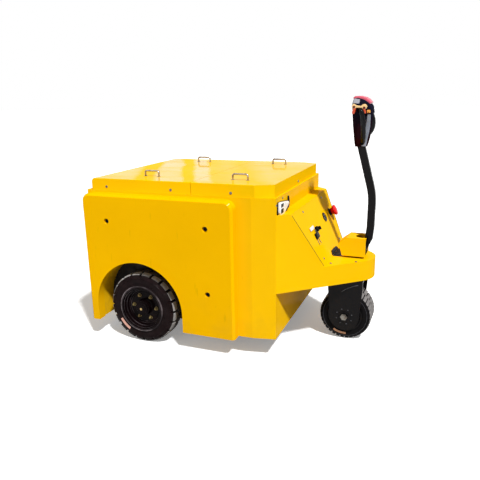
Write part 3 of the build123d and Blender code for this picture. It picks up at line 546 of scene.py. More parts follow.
def rim_enamel(name, colour, edge):
    """Dark enamel with painted highlights: a pale ring on the flange's outer edge and pale lines on the edges
    of the pressed steps.
    """
    pitch = 0.0098
    f = Finish(name, colour, 0.24, Coat_Weight=0.05, Coat_Roughness=0.05, Specular_IOR_Level=0.02)
    radius = f.radius(AXLE_X, TYRE_R)
    # Painted highlights: scuffs, patchy and rubbed make the pale ring on the flange, steps the pale lines on
    # the pressed steps' edges.
    scuffs = f.spread(f.noise(30, 5), 0.3, 0.6, 0.4, 1.0)
    patchy = f.times(scuffs, f.spread(f.noise(5, 2), 0.42, 0.58, 0.1, 1.0))
    rubbed = f.times(f.spread(radius, edge - 0.0005, edge + 0.0005), patchy)
    waves = f.maths("SINE", f.times(radius, 2 * pi / pitch))
    steps = f.times(f.spread(waves, 0.80, 0.97, 0.0, 0.55), f.spread(radius, 0.096, 0.098))
    wear_and_highlight = f.most(rubbed, f.times(steps, patchy))
    tone = f.patches(f.colour, 12, 5, 0.6, 1.4)
    tone = f.mix(f.spread(f.noise(26, 7), 0.52, 0.8, 0.0, 0.08), tone, (0.06, 0.035, 0.03, 1.0))
    f.paint("Base Color", f.mix(wear_and_highlight, tone, RIM_HIGHLIGHT))
    f.rough(22, 5, 0.14, 0.34)
    f.bump(f.noise(260, 3), 0.0001, 0.4)


def reflection_tinted(name, colour, low):
    """Moulded shell with a painted reflection: its colour changes softly from its top to its foot."""
    f = Finish(name, colour, 0.3, Coat_Weight=0.01, Coat_Roughness=0.06, Specular_IOR_Level=0.0)
    drift = f.maths("ADD", f.along("Z"), f.times(f.noise(14, 3), 0.16))
    f.paint("Base Color", f.mix(f.spread(drift, 1.34, 1.48), shade(linear(low), 1), shade(f.colour, 1)))
    f.rough(30, 5, 0.22, 0.4)
    f.bump(f.noise(900, 2), 0.0001, 0.5)


def metal(name, colour, roughness, rust=0.0, stain=(0.15, 0.055, 0.02, 1.0)):
    """Bare or plated metal with a fine grain and patches of rust."""
    f = Finish(name, colour, roughness, Metallic=1.0)
    tone = f.patches(f.colour, 26, 5, 0.82, 1.08)
    if rust:
        tone = f.mix(f.spread(f.noise(34, 8), 0.50, 0.64, 0.0, rust), tone, stain)
    f.paint("Base Color", tone)
    f.rough(260, 3, roughness - 0.1, roughness + 0.14, (0.25, 0.75))
    f.bump(f.noise(500, 3), 0.00008, 0.5)


def battery_case(name, colour):
    """Steel battery tray with its cells' lids drawn as a grid of seams."""
    f = Finish(name, colour, 0.6)
    cells = f.node("ShaderNodeTexBrick", {"Vector": f.place, "Scale": 1.0, "Mortar Size": 0.004,
                                          "Brick Width": 0.16, "Row Height": 0.2,
                                          "Color1": shade(f.colour, 0.9), "Color2": shade(f.colour, 1.25),
                                          "Mortar": shade(f.colour, 0.3)}, offset=0.0)
    f.paint("Base Color", cells.outputs["Color"])
    f.rough(30, 5, 0.45, 0.75)
    f.bump(f.times(cells.outputs["Fac"], -1.0), 0.002, 0.6)
    f.bump(f.noise(300, 3), 0.0002, 0.4)


def glow(name, colour, strength):
    """Display glass with a faint light of its own."""
    f = Finish(name, colour, 0.12, Coat_Weight=1.0, Coat_Roughness=0.03)
    f.fill(Emission_Color=shade(f.colour, 1), Emission_Strength=strength)
    tone = f.ramp(f.noise(55, 3), [(0.35, shade(f.colour, 0.85)), (0.65, shade(f.colour, 1.1))])
    f.paint("Base Color", tone)
    f.rough(80, 4, 0.08, 0.2)


class TugPaint(bpy.types.PropertyGroup):
    """Colours of the painted and moulded pieces, as they show on a screen"""
    body: FloatVectorProperty(name="Body", description="Paint of the walls and the nose",
                              subtype="COLOR_GAMMA", size=3, min=0, max=1, default=(0.995, 0.765, 0.015))
    plate: FloatVectorProperty(name="Ballast plates", description="Paint of the side plates",
                               subtype="COLOR_GAMMA", size=3, min=0, max=1, default=(0.992, 0.745, 0.0))
    cover: FloatVectorProperty(name="Covers", description="Paint of the covers", subtype="COLOR_GAMMA",
                               size=3, min=0, max=1, default=(0.998, 0.78, 0.03))
    rim: FloatVectorProperty(name="Rims", description="Paint of the wheel rims", subtype="COLOR_GAMMA",
                             size=3, min=0, max=1, default=(0.055, 0.025, 0.03))
    tread: FloatVectorProperty(name="Tread", description="Rubber of the treads", subtype="COLOR_GAMMA",
                               size=3, min=0, max=1, default=(0.62, 0.615, 0.61))
    wall: FloatVectorProperty(name="Side walls", description="Rubber of the side walls",
                              subtype="COLOR_GAMMA", size=3, min=0, max=1, default=(0.085, 0.04, 0.045))
    dirt: FloatProperty(name="Dirt", description="Dust on the lower parts", min=0, max=1, default=0.14)


class TugTyres(bpy.types.PropertyGroup):
    """Tread of the three tyres"""
    lugs: IntProperty(name="Shoulder lugs", description="Lugs on each shoulder of a rear tyre", min=8,
                      max=48, default=20)
    groove: FloatProperty(name="Groove", description="Width of the grooves between the lugs", unit="LENGTH",
                          min=0.004, max=0.04, default=0.017)
    blocks: IntProperty(name="Tread blocks", description="Blocks in each row of the drive tyre", min=8,
                        max=60, default=34)
    block_groove: FloatProperty(name="Block groove", description="Width of the grooves between the blocks",
                                unit="LENGTH", min=0.002, max=0.02, default=0.0085)


class TugStage(bpy.types.PropertyGroup):
    """Camera, floor and lights"""
    camera: FloatVectorProperty(name="Camera", description="Place of the camera", subtype="TRANSLATION",
                                unit="LENGTH", size=3, default=(1.2907, -3.2104, 1.5125))
    azimuth: FloatProperty(name="Azimuth", description="Camera's angle round the machine", subtype="ANGLE",
                           default=radians(21.683))
    elevation: FloatProperty(name="Elevation", description="Camera's angle over the floor", subtype="ANGLE",
                             default=radians(15.267))
    roll: FloatProperty(name="Roll", description="Camera's roll", subtype="ANGLE", default=radians(-1.021))
    lens: FloatProperty(name="Lens", description="Focal length on a 36 mm wide sensor",
                        subtype="DISTANCE_CAMERA", unit="CAMERA", default=39.462)
    sun: FloatProperty(name="Sun", description="Strength of the key light", min=0, max=20, default=3.8)
    sky: FloatProperty(name="Sky", description="Strength of the light from all round", min=0, max=5,
                       default=0.27)


# Operators

class TUG_OT_paint_nodes(bpy.types.Operator):
    """Makes the finishes and puts them on the CAD nodes"""
    bl_idname = "tug.paint_nodes"
    bl_label = "Paint the CAD nodes"

    def execute(self, context):
        paint = context.scene.tug_paint
        for plain in list(bpy.data.materials):
            plain.name = f"plain_{plain.name}"
        sprayed("yellow_paint", paint.body, 0.34, coat=0.06, dirt=paint.dirt, shine=0.0, peel=0.00012)
        sprayed("plate_paint", paint.plate, 0.38, coat=0.03, dirt=paint.dirt, shine=0.0, scuff=0.08)
        sprayed("black_paint", (0.05, 0.045, 0.052), 0.3, coat=0.10, dirt=0.03, shine=0.04)
        lacquered("cover_paint", paint.cover)
        arch_paint("house_paint", (0.05, 0.045, 0.045), paint.body, edge=TYRE_IN - 0.012)
        rim_enamel("rim_paint", paint.rim, edge=RIM_BOX[1][2] - TYRE_R - 0.0065)
        # shoulder: inside it the rear tread is painted dark as shade; at -1.0 the drive tyre gets none.
        rubber("tyre", paint.tread, paint.wall, edge=TYRE_OUT - 0.009, axle=(AXLE_X, TYRE_R),
               floor=TYRE_R - 0.0088, dusty=0.6, shoulder=TYRE_OUT - 0.046)
        rubber("drive_rubber", (0.50, 0.485, 0.48), (0.05, 0.045, 0.05), edge=DRIVE_HALF - 0.007,
               axle=(DRIVE_X, DRIVE_R), floor=DRIVE_R - 0.0065, dusty=0.3, shoulder=-1.0)
        metal("steel", (0.46, 0.45, 0.43), 0.34, rust=0.6, stain=(0.08, 0.06, 0.045, 1.0))
        metal("chrome", (0.70, 0.66, 0.60), 0.14, rust=0.8, stain=(0.13, 0.075, 0.035, 1.0))
        metal("zinc", (0.42, 0.37, 0.24), 0.36, rust=0.6)
        metal("brass", (0.72, 0.62, 0.42), 0.25)
        battery_case("battery_case", (0.16, 0.17, 0.18))
        moulded("black_plastic", (0.065, 0.06, 0.065), 0.42, shine=0.06)
        moulded("grip_plastic", (0.035, 0.035, 0.045), 0.14, 1200, 0.00003, 0.2, 0.03)
        moulded("red_plastic", (0.86, 0.07, 0.08), 0.28, 1100, 0.00005, 0.2, 0.1)
        moulded("white_plastic", (0.97, 0.965, 0.95), 0.42)
        # Pale pinkish and orange arcs laid on the tyres' side walls.
        moulded("pale_arc_pink", (0.89, 0.68, 0.61), 0.3, 1500, 0.00002)
        moulded("pale_arc_orange", (0.95, 0.72, 0.56), 0.3, 1500, 0.00002)
        # Grey: the fork bolts' own colour, and painted highlights on the fork's bends and the drive tyre's
        # wall ridges.
        moulded("grey_and_highlight", (0.27, 0.27, 0.29), 0.3, 900, 0.00004)
        for part in frame["record"]["subparts"]:
            node = frame["nodes"][part["node"]]
            finish = bpy.data.materials[part["material_slot"]]
            for entry in node.material_slots:
                entry.material = finish
            if not node.material_slots:
                node.data.materials.append(finish)
        return {"FINISHED"}


def other_half(outline, width):
    """Outline of radius and height, mirrored about the middle of a tyre's width."""
    return [(r, width - h) for r, h in reversed(outline)]


def tyre_ring(name, half, width, sides):
    """Closed ring of a tyre from the inner half of its profile."""
    return turned(name, half + other_half(half, width), sides, ring=True)


def groove_ring(name, outline, width, count, offset=0.0):
    """Cutters for the grooves, drawn as radius and height, spread round Z."""
    tool = settle(drawn(name, outline, width), side_view(width / 2))
    turns = [2 * pi * (i + offset) / count for i in range(count)]
    return copies(tool, name, [Matrix.Rotation(turn, 4, "Z") for turn in turns])


class TUG_OT_rear_tyres(bpy.types.Operator):
    """Cushion tyres with shoulder lugs, in place of the plain rings"""
    bl_idname = "tug.rear_tyres"
    bl_label = "Rear tyres"

    def execute(self, context):
        tread = context.scene.tug_tyres
        r, w = TYRE_R, TYRE_W
        half = [(0.1425, 0.004), (0.150, 0.0015), (0.156, 0.0), (0.158, 0.0022), (0.164, 0.0024),
                (0.166, 0.0), (0.188, 0.0003), (0.1945, 0.0012), (0.1958, -0.0010), (0.1984, -0.0010),
                (0.2000, 0.0020), (0.206, 0.0036), (r - 0.013, 0.0075), (r - 0.0045, 0.0145), (r, 0.0235)]
        tyre = tyre_ring("rear_tyre", half, w, 144)
        outer = [(r - 0.009, w - 0.058), (r - 0.012, w - 0.023), (r - 0.022, w - 0.010),
                 (r - 0.029, w + 0.004), (r + 0.01, w + 0.004), (r + 0.01, w - 0.058)]
        cut(tyre, groove_ring("lug_cutters", outer, tread.groove, tread.lugs))
        cut(tyre, groove_ring("lug_cutters", other_half(outer, w), tread.groove, tread.lugs, 0.5))
        soften(tyre, 0.0012, 2, 32)
        for (name, side), piece in zip(SIDES, (tyre, twin(tyre))):
            piece.name = f"tyre_lugged_{name}"
            settle(piece, facing((AXLE_X, side * TYRE_IN, TYRE_R), (0, side, 0)))
            finish_piece(piece, f"wheel_{name}", "tyre")
            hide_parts(f"tyre_{name}")
            # A pale pinkish arc laid on the side wall.
            pale_arc = arc_strip(f"tyre_pale_arc_{name}", (AXLE_X, TYRE_R), (0.1685, 0.1865), (209, 237))
            settle(pale_arc, beside(side, TYRE_OUT, ARC_STRIP_DEPTH))
            finish_piece(pale_arc, f"wheel_{name}", "pale_arc_pink")
        return {"FINISHED"}


def hex_nut(name, across, height, bore):
    """Hexagon nut with a bevelled top, the end of its stud and a washer."""
    nut = turned(name, [(across, 0), (across, height * 0.85), (across * 0.86, height)], 6)
    soften(nut, across * 0.05, 2, 20)
    stud = turned("stud", [(bore, height * 0.5), (bore, height * 1.35), (bore * 0.7, height * 1.5)], 20)
    washer = turned("washer", [(0.0122, 0), (0.0122, 0.0015), (0.0108, 0.002)], 28)
    return joined(name, [nut, smooth(stud), smooth(washer)])


def cap_screw(name, radius, height, socket):
    """Socket-head screw with its hexagon recess."""
    head = turned(name, [(radius, 0), (radius, height * 0.85), (radius * 0.88, height)], 32)
    tool = turned("socket", [(socket, height * 0.4), (socket, height * 1.3)], 6)
    return smooth(cut(head, tool))


def dome_screw(name, radius, height):
    """Low round-headed screw with a socket and a thin washer."""
    head = turned(name, [(radius * 1.25, 0), (radius * 1.25, height * 0.22), (radius, height * 0.24),
                         (radius * 0.95, height * 0.6), (radius * 0.72, height * 0.92),
                         (radius * 0.45, height)], 28)
    tool = turned("socket", [(radius * 0.38, height * 0.45), (radius * 0.38, height * 1.3)], 6)
    return smooth(cut(head, tool), 35)


# Steps pressed in the dish of a rim: radius, and place from the flange's face.
RIM_STEPS = [(0.1060, -0.0470), (0.1050, -0.0452), (0.1065, -0.0425), (0.1135, -0.0425), (0.1150, -0.0360),
             (0.1182, -0.0360), (0.1195, -0.0240), (0.1228, -0.0240), (0.1245, -0.0160), (0.1262, -0.0160),
             (0.1290, -0.0085), (0.1325, -0.0085), (0.1325, -0.0110), (0.1300, -0.0110), (0.1240, -0.0470)]


class TUG_OT_wheel_nuts(bpy.types.Operator):
    """Stepped rings, six nuts and a grease nipple on each rear wheel"""
    bl_idname = "tug.wheel_nuts"
    bl_label = "Wheel nuts"

    def execute(self, context):
        face = RIM_FACE - NUT_DEPTH
        for name, side in SIDES:
            wheel, out = f"wheel_{name}", (0, side, 0)
            places = bolt_circle((AXLE_X, side * face, TYRE_R), side, NUT_RING, 6, -0.06, 0.4)
            nuts = copies(hex_nut("nut", 0.0105, 0.013, 0.005), f"wheel_nuts_{name}", places)
            finish_piece(nuts, wheel, "zinc")
            cap_low, cap_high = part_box(f"hub_cap_{name}")
            cap_end = cap_high[1] if side > 0 else -cap_low[1]
            nipple = smooth(turned(f"grease_nipple_{name}", [(0.008, 0), (0.008, 0.003), (0.0055, 0.0036),
                                                             (0.0052, 0.0058), (0.0035, 0.0068)], 24))
            settle(nipple, facing((AXLE_X, side * (cap_end - 0.001), TYRE_R), out))
            steps = smooth(turned(f"rim_steps_{name}", RIM_STEPS, 96, ring=True))
            settle(steps, facing((AXLE_X, side * RIM_FACE, TYRE_R), out))
            finish_piece(steps, wheel, "rim_paint")
            finish_piece(nipple, wheel, "brass")
        return {"FINISHED"}


class TUG_OT_drive_tyre(bpy.types.Operator):
    """Wide drive tyre with two rows of tread blocks, in place of the plain ring"""
    bl_idname = "tug.drive_tyre"
    bl_label = "Drive tyre"

    def execute(self, context):
        tread = context.scene.tug_tyres
        r, w = DRIVE_R, 2 * DRIVE_HALF
        middle, depth = w / 2, 0.0075
        half = [(0.1075, 0.003), (0.113, 0.0), (0.130, 0.0), (0.1345, 0.0018), (0.145, 0.0035),
                (r - 0.008, 0.009), (r - 0.002, 0.0155), (r, 0.024), (r, middle - 0.006),
                (r - 0.0075, middle - 0.005)]
        tyre = tyre_ring("drive_tread", half, w, 156)
        near = [(r + 0.01, middle - 0.001), (r + 0.01, -0.004), (r - 0.026, -0.004), (r - 0.014, 0.010),
                (r - depth, 0.024), (r - depth, middle - 0.001)]
        cut(tyre, groove_ring("block_cutters", near, tread.block_groove, tread.blocks))
        cut(tyre, groove_ring("block_cutters", other_half(near, w), tread.block_groove, tread.blocks, 0.5))
        soften(tyre, 0.0009, 2, 32)
        settle(tyre, facing((DRIVE_X, DRIVE_HALF, DRIVE_R), (0, -1, 0)))
        finish_piece(tyre, "drive_wheel", "drive_rubber")
        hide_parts("drive_tyre")
        # Painted highlight: a thin grey ring along each side wall's ridge.
        ridges = []
        for y in (0.0016 - DRIVE_HALF, DRIVE_HALF - 0.0016):
            ridges.append(torus(facing((DRIVE_X, y, DRIVE_R), (0, 1, 0)), 0.1385, 0.0011, 96))
        ridges = smooth(joined("drive_ridge_highlights", ridges), 60)
        finish_piece(ridges, "drive_wheel", "grey_and_highlight")
        # A pale orange arc laid on the side wall.
        pale_arc = arc_strip("drive_pale_arc", (DRIVE_X, DRIVE_R), (0.1155, 0.1285), (236, 275))
        settle(pale_arc, beside(-1, DRIVE_HALF, ARC_STRIP_DEPTH))
        finish_piece(pale_arc, "drive_wheel", "pale_arc_orange")
        return {"FINISHED"}


class TUG_OT_fork_fittings(bpy.types.Operator):
    """Ring of bolts, cup and a grey strip, a painted highlight on the plate's bend, on each side of the drive
    wheel's fork
    """
    bl_idname = "tug.fork_fittings"
    bl_label = "Fork fittings"

    def execute(self, context):
        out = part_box("drive_fork")[1][1]
        # Painted highlight: a thin grey strip along the curve where the fork plate bends.
        upper = [(304, 328), (326, 346), (350, 360), (378, 373), (405, 382)]
        bend_highlight_outline = from_wall(upper + [(u + 2, z - 5) for u, z in reversed(upper)])
        for name, side in SIDES:
            axle_end = (DRIVE_X, side * out, DRIVE_R)
            places = bolt_circle(axle_end, side, FORK_RING, 8, 0.1 * pi, 1.0)
            bolts = copies(dome_screw("bolt", 0.0034, 0.003), f"fork_bolts_{name}", places)
            finish_piece(bolts, "steering", "grey_and_highlight")
            cup = turned(f"axle_cup_{name}", [(0.0275, 0), (0.0335, 0), (0.0335, 0.006), (0.0315, 0.0075),
                                              (0.0275, 0.0075)], 48, ring=True)
            settle(smooth(cup), facing(axle_end, (0, side, 0)))
            finish_piece(cup, "steering", "black_paint")
            bend_highlight = settle(drawn(f"fork_bend_highlight_{name}", bend_highlight_outline, 0.003), beside(side, out, 0.003, 0.0025))
            soften(bend_highlight, 0.0012, 2)
            finish_piece(bend_highlight, "steering", "grey_and_highlight")
        return {"FINISHED"}


def lamp(kind, name, place, towards, **settings):
    """Light at a place, whose back points along a direction."""
    calm()
    bpy.ops.object.light_add(type=kind, location=place)
    light = bpy.context.object
    light.name = name
    light.rotation_euler = Vector(towards).to_track_quat("Z", "Y").to_euler()
    for key, value in settings.items():
        setattr(light.data, key, value)


class TUG_OT_stage(bpy.types.Operator):
    """Floor, lights and camera"""
    bl_idname = "tug.stage"
    bl_label = "Stage"

    def execute(self, context):
        stage = context.scene.tug_stage
        calm()
        bpy.ops.mesh.primitive_plane_add(size=120, location=(0, 0, -0.0005))
        floor = context.object
        floor.name = "floor"
        settle(floor)
        f = Finish("floor_white", (1, 1, 1), 0.9, Specular_IOR_Level=0.0, Emission_Color=WHITE)
        rays = f.node("ShaderNodeLightPath").outputs
        seen = f.most(rays["Is Camera Ray"], rays["Is Glossy Ray"])
        f.paint("Base Color", f.mix(seen, FLOOR_GREY, WHITE))
        f.paint("Emission Strength", f.times(seen, 0.25))
        floor.data.materials.append(f.material)

        world = context.scene.world or bpy.data.worlds.new("world")
        context.scene.world = world
        world.use_nodes = True
        tree = world.node_tree
        tree.nodes.clear()
        rays = add_node(tree, "ShaderNodeLightPath").outputs
        seen = rays["Is Camera Ray"]
        for other in ("Is Glossy Ray", "Is Transmission Ray"):
            seen = add_node(tree, "ShaderNodeMath", {0: seen, 1: rays[other]}, operation="MAXIMUM").outputs[0]
        sky = {"Color": SKY_LIGHT, "Strength": stage.sky}
        light = add_node(tree, "ShaderNodeBackground", sky).outputs[0]
        shown = add_node(tree, "ShaderNodeBackground", {"Color": WHITE, "Strength": 1.0}).outputs[0]
        both = add_node(tree, "ShaderNodeMixShader", {0: seen, 1: light, 2: shown}).outputs[0]
        add_node(tree, "ShaderNodeOutputWorld", {"Surface": both})

        lamp("SUN", "key_light", (3, -3, 5), (0.45, -0.41, 0.79), energy=stage.sun, angle=radians(4))
        lamp("AREA", "fill_light", (-1.5, -4.5, 1.6), (-1.5, -4.5, 1.1), shape="RECTANGLE", size=4.0,
             size_y=2.5, energy=22)

        az, el, roll = stage.azimuth, stage.elevation, stage.roll
        ahead = Vector((-sin(az) * cos(el), cos(az) * cos(el), -sin(el)))
        right = Vector((cos(az), sin(az), 0))
        up = right.cross(ahead)
        right, up = right * cos(roll) + up * sin(roll), up * cos(roll) - right * sin(roll)
        calm()
        bpy.ops.object.camera_add()
        camera = context.object
        turn = Matrix((right, up, -ahead)).transposed().to_4x4()
        camera.matrix_world = Matrix.Translation(stage.camera) @ turn
        camera.data.sensor_fit = "HORIZONTAL"
        camera.data.sensor_width = 36.0
        camera.data.lens = stage.lens
        camera.data.clip_end = 300
        context.scene.camera = camera
        context.scene.view_settings.view_transform = "Standard"
        return {"FINISHED"}


def dash_spot(height, across, lift=0.0):
    """Matrix of a place on the dash at a height, its Z pointing out of the dash."""
    rise, run = DASH_SLOPE
    length = (rise ** 2 + run ** 2) ** 0.5
    normal = Vector((rise / length, 0, run / length))
    x = WALL_X + DASH_FOOT[0] - (height - DASH_FOOT[1]) * run / rise
    return facing(Vector((x, across, height)) + normal * lift, normal)


class TUG_OT_gauge(bpy.types.Operator):
    """Battery gauge's bezel, glass and lit bars"""
    bl_idname = "tug.gauge"
    bl_label = "Battery gauge"

    def execute(self, context):
        moulded("gauge_face", (0.03, 0.03, 0.035), 0.3, 1500, 0.00002, 0.1, 0.05)
        glow("gauge_light", (0.86, 0.88, 0.84), 0.1)
        bezel = turned("gauge_bezel", [(0.0235, 0.004), (0.031, 0.0), (0.031, 0.0045), (0.0295, 0.0062),
                                       (0.0255, 0.0066), (0.0235, 0.0048)], 64, ring=True)
        glass = turned("gauge_glass", [(0.0238, 0.0030), (0.0238, 0.0042), (0.020, 0.0050),
                                       (0.010, 0.0056)], 64)
        bars = []
        for i in range(10):
            angle = radians(210 - i * 240 / 9)
            place = (0.016 * cos(angle), 0.016 * sin(angle), 0.0052)
            bar = block("gauge_bar", (0.0016, 0.0050, 0.0006), 0.0002, 1)
            bars.append(settle(bar, Matrix.Translation(place) @ Matrix.Rotation(angle - pi / 2, 4, "Z")))
        spot = dash_spot(0.740, 0.120)
        for piece, finish in ((bezel, "grip_plastic"), (glass, "gauge_face")):
            settle(smooth(piece), spot)
            finish_piece(piece, "chassis", finish)
        ring = settle(joined("gauge_bars", bars), spot)
        finish_piece(ring, "chassis", "gauge_light")
        return {"FINISHED"}


class TUG_OT_stop_button(bpy.types.Operator):
    """Emergency stop and its collar"""
    bl_idname = "tug.stop_button"
    bl_label = "Emergency stop"

    def execute(self, context):
        collar = turned("stop_collar", [(0.0262, 0), (0.0262, 0.0035), (0.0235, 0.0042), (0.0215, 0.0042),
                                        (0.0215, 0.0150), (0.0195, 0.0165)], 48)
        settle(smooth(collar), dash_spot(*STOP_SPOT))
        finish_piece(collar, "chassis", "black_plastic")
        knob = turned("stop_button", [(0.016, 0.0), (0.016, 0.014), (0.023, 0.018), (0.0255, 0.026),
                                      (0.0325, 0.034), (0.0360, 0.0385), (0.0360, 0.0440), (0.0330, 0.0480),
                                      (0.024, 0.0505), (0.012, 0.0522), (0.005, 0.0525)], 64)
        settle(smooth(knob, 50), dash_spot(*STOP_SPOT))
        finish_piece(knob, "chassis", "red_plastic")
        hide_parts("emergency_stop")
        return {"FINISHED"}


class TUG_OT_dash_trim(bpy.types.Operator):
    """Black plates as painted shade at the dash's foot and over the platform's cut-out round the steering
    head, and gaskets down the dash's edges
    """
    bl_idname = "tug.dash_trim"
    bl_label = "Dash trim"

    def execute(self, context):
        # Painted shade: a black plate on the dash where the slot at its foot lies in shade.
        trim = drawn("dash_foot_shade", [(-0.060, 0.0), (0.108, 0.0), (0.108, 0.014), (0.088, 0.024),
                                   (-0.022, 0.030), (-0.060, 0.016)], 0.0014)
        settle(trim, dash_spot(0.5375, 0.0))
        finish_piece(trim, "chassis", "black_plastic")
        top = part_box("platform_cover")[1][2]
        # Painted shade: a black plate on the platform where the cut-out round the steering head lies in
        # shade.
        opening_shade = drawn("platform_opening_shade", [(0.664, -0.062), (0.700, -0.062), (0.728, -0.036),
                                             (0.732, 0.080), (0.700, 0.105), (0.664, 0.105)], 0.0012)
        settle(opening_shade, Matrix.Translation((0, 0, top - 0.0002)))
        finish_piece(opening_shade, "chassis", "black_plastic")
        for name, side in SIDES:
            ends = [dash_spot(z, side * y, 0.0002).translation for z, y in ((0.866, 0.441), (0.545, 0.299))]
            finish_piece(rods(f"dash_gasket_{name}", ends, 0.0018), "chassis", "black_plastic")
        return {"FINISHED"}


class TUG_OT_keys(bpy.types.Operator):
    """Key in its lock, with a tag, a fob and two more keys on the ring"""
    bl_idname = "tug.keys"
    bl_label = "Keys"

    def execute(self, context):
        knob = turned("key_knob", [(0.0155, 0), (0.0165, 0.003), (0.0165, 0.009), (0.0145, 0.0115)], 32)
        tag = block("key_tag", (0.078, 0.022, 0.004), 0.0018, 2)
        fob = block("key_fob", (0.072, 0.036, 0.009), 0.0042, 3)
        hung = ((knob, "black_plastic", (0.725, -0.168, 0.0115)),
                (tag, "white_plastic", (0.744, -0.230, 0.005)),
                (fob, "black_plastic", (0.694, -0.188, 0.002)))
        for piece, finish, spot in hung:
            settle(smooth(piece), dash_spot(*spot))
            finish_piece(piece, "chassis", finish)
        keys = []
        for across, turn in ((-0.206, 0.12), (-0.172, 0.40)):
            key = block("key", (0.0065, 0.050, 0.0022), 0.0006, 1)
            keys.append(settle(key, dash_spot(0.664, across, 0.001) @ Matrix.Rotation(turn, 4, "Z")))
        keys.append(torus(dash_spot(0.716, -0.190, 0.012), 0.013, 0.0012, 32))
        finish_piece(smooth(joined("key_bunch", keys), 50), "chassis", "steel")
        return {"FINISHED"}


class TUG_OT_socket(bpy.types.Operator):
    """Charging socket on the front wall: a black plate as the pod's painted shadow, the pod, black blocks as
    painted shade in its two slots, screws and lead
    """
    bl_idname = "tug.socket"
    bl_label = "Charging socket"

    def execute(self, context):
        # Painted shadow: a black plate a little larger than the pod, showing past its left and lower edges.
        back = drawn("socket_shadow", [(-0.484, 0.944), (-0.404, 0.937), (-0.306, 0.925), (-0.302, 0.904),
                                     (-0.372, 0.872), (-0.428, 0.855), (-0.482, 0.858),
                                     (-0.492, 0.880)], 0.005)
        finish_piece(settle(back, front_view(WALL_X)), "chassis", "black_plastic")
        pod = drawn("socket_pod", [(-0.478, 0.942), (-0.404, 0.935), (-0.316, 0.923), (-0.308, 0.907),
                                   (-0.372, 0.880), (-0.424, 0.864), (-0.470, 0.868), (-0.480, 0.886)], 0.020)
        soften(settle(pod, front_view(WALL_X)), 0.005, 3)
        finish_piece(smooth(pod, 50), "chassis", "white_plastic")
        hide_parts("charging_socket")
        # Painted shade: black blocks stand in for the shade inside the two slots, which are not cut.
        slot_shade_blocks = []
        for high, height in ((0.018, 0.924), (0.024, 0.893)):
            slot_shade_block = block("slot_shade_block", (0.042, high, 0.003), 0.001, 2)
            slot_shade_blocks.append(settle(slot_shade_block, facing((WALL_X + 0.0193, -0.453, height), AHEAD)))
        finish_piece(joined("socket_slot_shade", slot_shade_blocks), "chassis", "black_plastic")
        spots = [(-0.500, 0.930), (-0.350, 0.860), (-0.382, 0.952)]
        screws = copies(dome_screw("screw", 0.0055, 0.004), "socket_screws",
                        [facing((WALL_X, y, z), AHEAD) for y, z in spots])
        finish_piece(screws, "chassis", "steel")
        lead = rods("socket_lead", [(WALL_X + 0.016, -0.372, 0.882), (WALL_X + 0.020, -0.335, 0.894),
                                    (WALL_X + 0.014, -0.302, 0.913), (WALL_X + 0.003, -0.276, 0.944)], 0.0055)
        finish_piece(lead, "chassis", "black_plastic")
        return {"FINISHED"}


class TUG_OT_body_screws(bpy.types.Operator):
    """Screws in the dash, ballast plates, cover skirts and platform"""
    bl_idname = "tug.body_screws"
    bl_label = "Body screws"

    def execute(self, context):
        places = [dash_spot(height, across) for height in (0.845, 0.570) for across in (-0.238, 0.238)]
        screws = copies(dome_screw("screw", 0.0062, 0.0042), "dash_screws", places)
        finish_piece(screws, "chassis", "steel")
        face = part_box("ballast_plate_left")[1][1] - 0.022
        for name, side in SIDES:
            places = [facing((WALL_X + u / 1000, side * face, z / 1000), (0, side, 0), 0.4)
                      for u, z in ((-1058, 790), (-395, 788), (-392, 392))]
            screws = copies(cap_screw("screw", 0.0125, 0.013, 0.0065), f"plate_screws_{name}", places)
            finish_piece(screws, "chassis", "black_paint")
        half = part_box("lid_rear")[1][1]
        skirts = {
            "lid_rear": [(u, side) for u in (-1081, -637) for side in (-1, 1)],
            "lid_front": [(-257, -1), (-257, 1)],
        }
        for lid, spots in skirts.items():
            places = [facing((WALL_X + u / 1000, side * half, 0.992), (0, side, 0), u) for u, side in spots]
            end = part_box(lid)
            if lid == "lid_front":
                places.append(facing((end[1][0], 0, 0.988), AHEAD))
            else:
                places += [facing((end[0][0], y, 0.990), (-1, 0, 0)) for y in (-0.3, 0.3)]
            screws = copies(dome_screw("screw", 0.0065, 0.0045), f"{lid}_screws", places)
            finish_piece(screws, lid, "steel")
        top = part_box("platform_cover")[1][2]
        places = [facing((WALL_X + u / 1000, y, top), (0, 0, 1), u)
                  for u, y in ((390, -0.141), (390, 0.141), (252, -0.215), (252, 0.215))]
        screws = copies(dome_screw("screw", 0.0065, 0.0045), "platform_screws", places)
        finish_piece(screws, "chassis", "steel")
        return {"FINISHED"}


def skin(shell, name, outline, swell):
    """Part of the shell's surface within a side outline, a little proud of it."""
    piece = twin(shell)
    piece.name = name
    modify(piece, "DISPLACE", strength=swell, mid_level=0.0)
    cut(piece, side_form("window", outline, HEAD_HALF), "INTERSECT")
    return smooth(piece, 40)


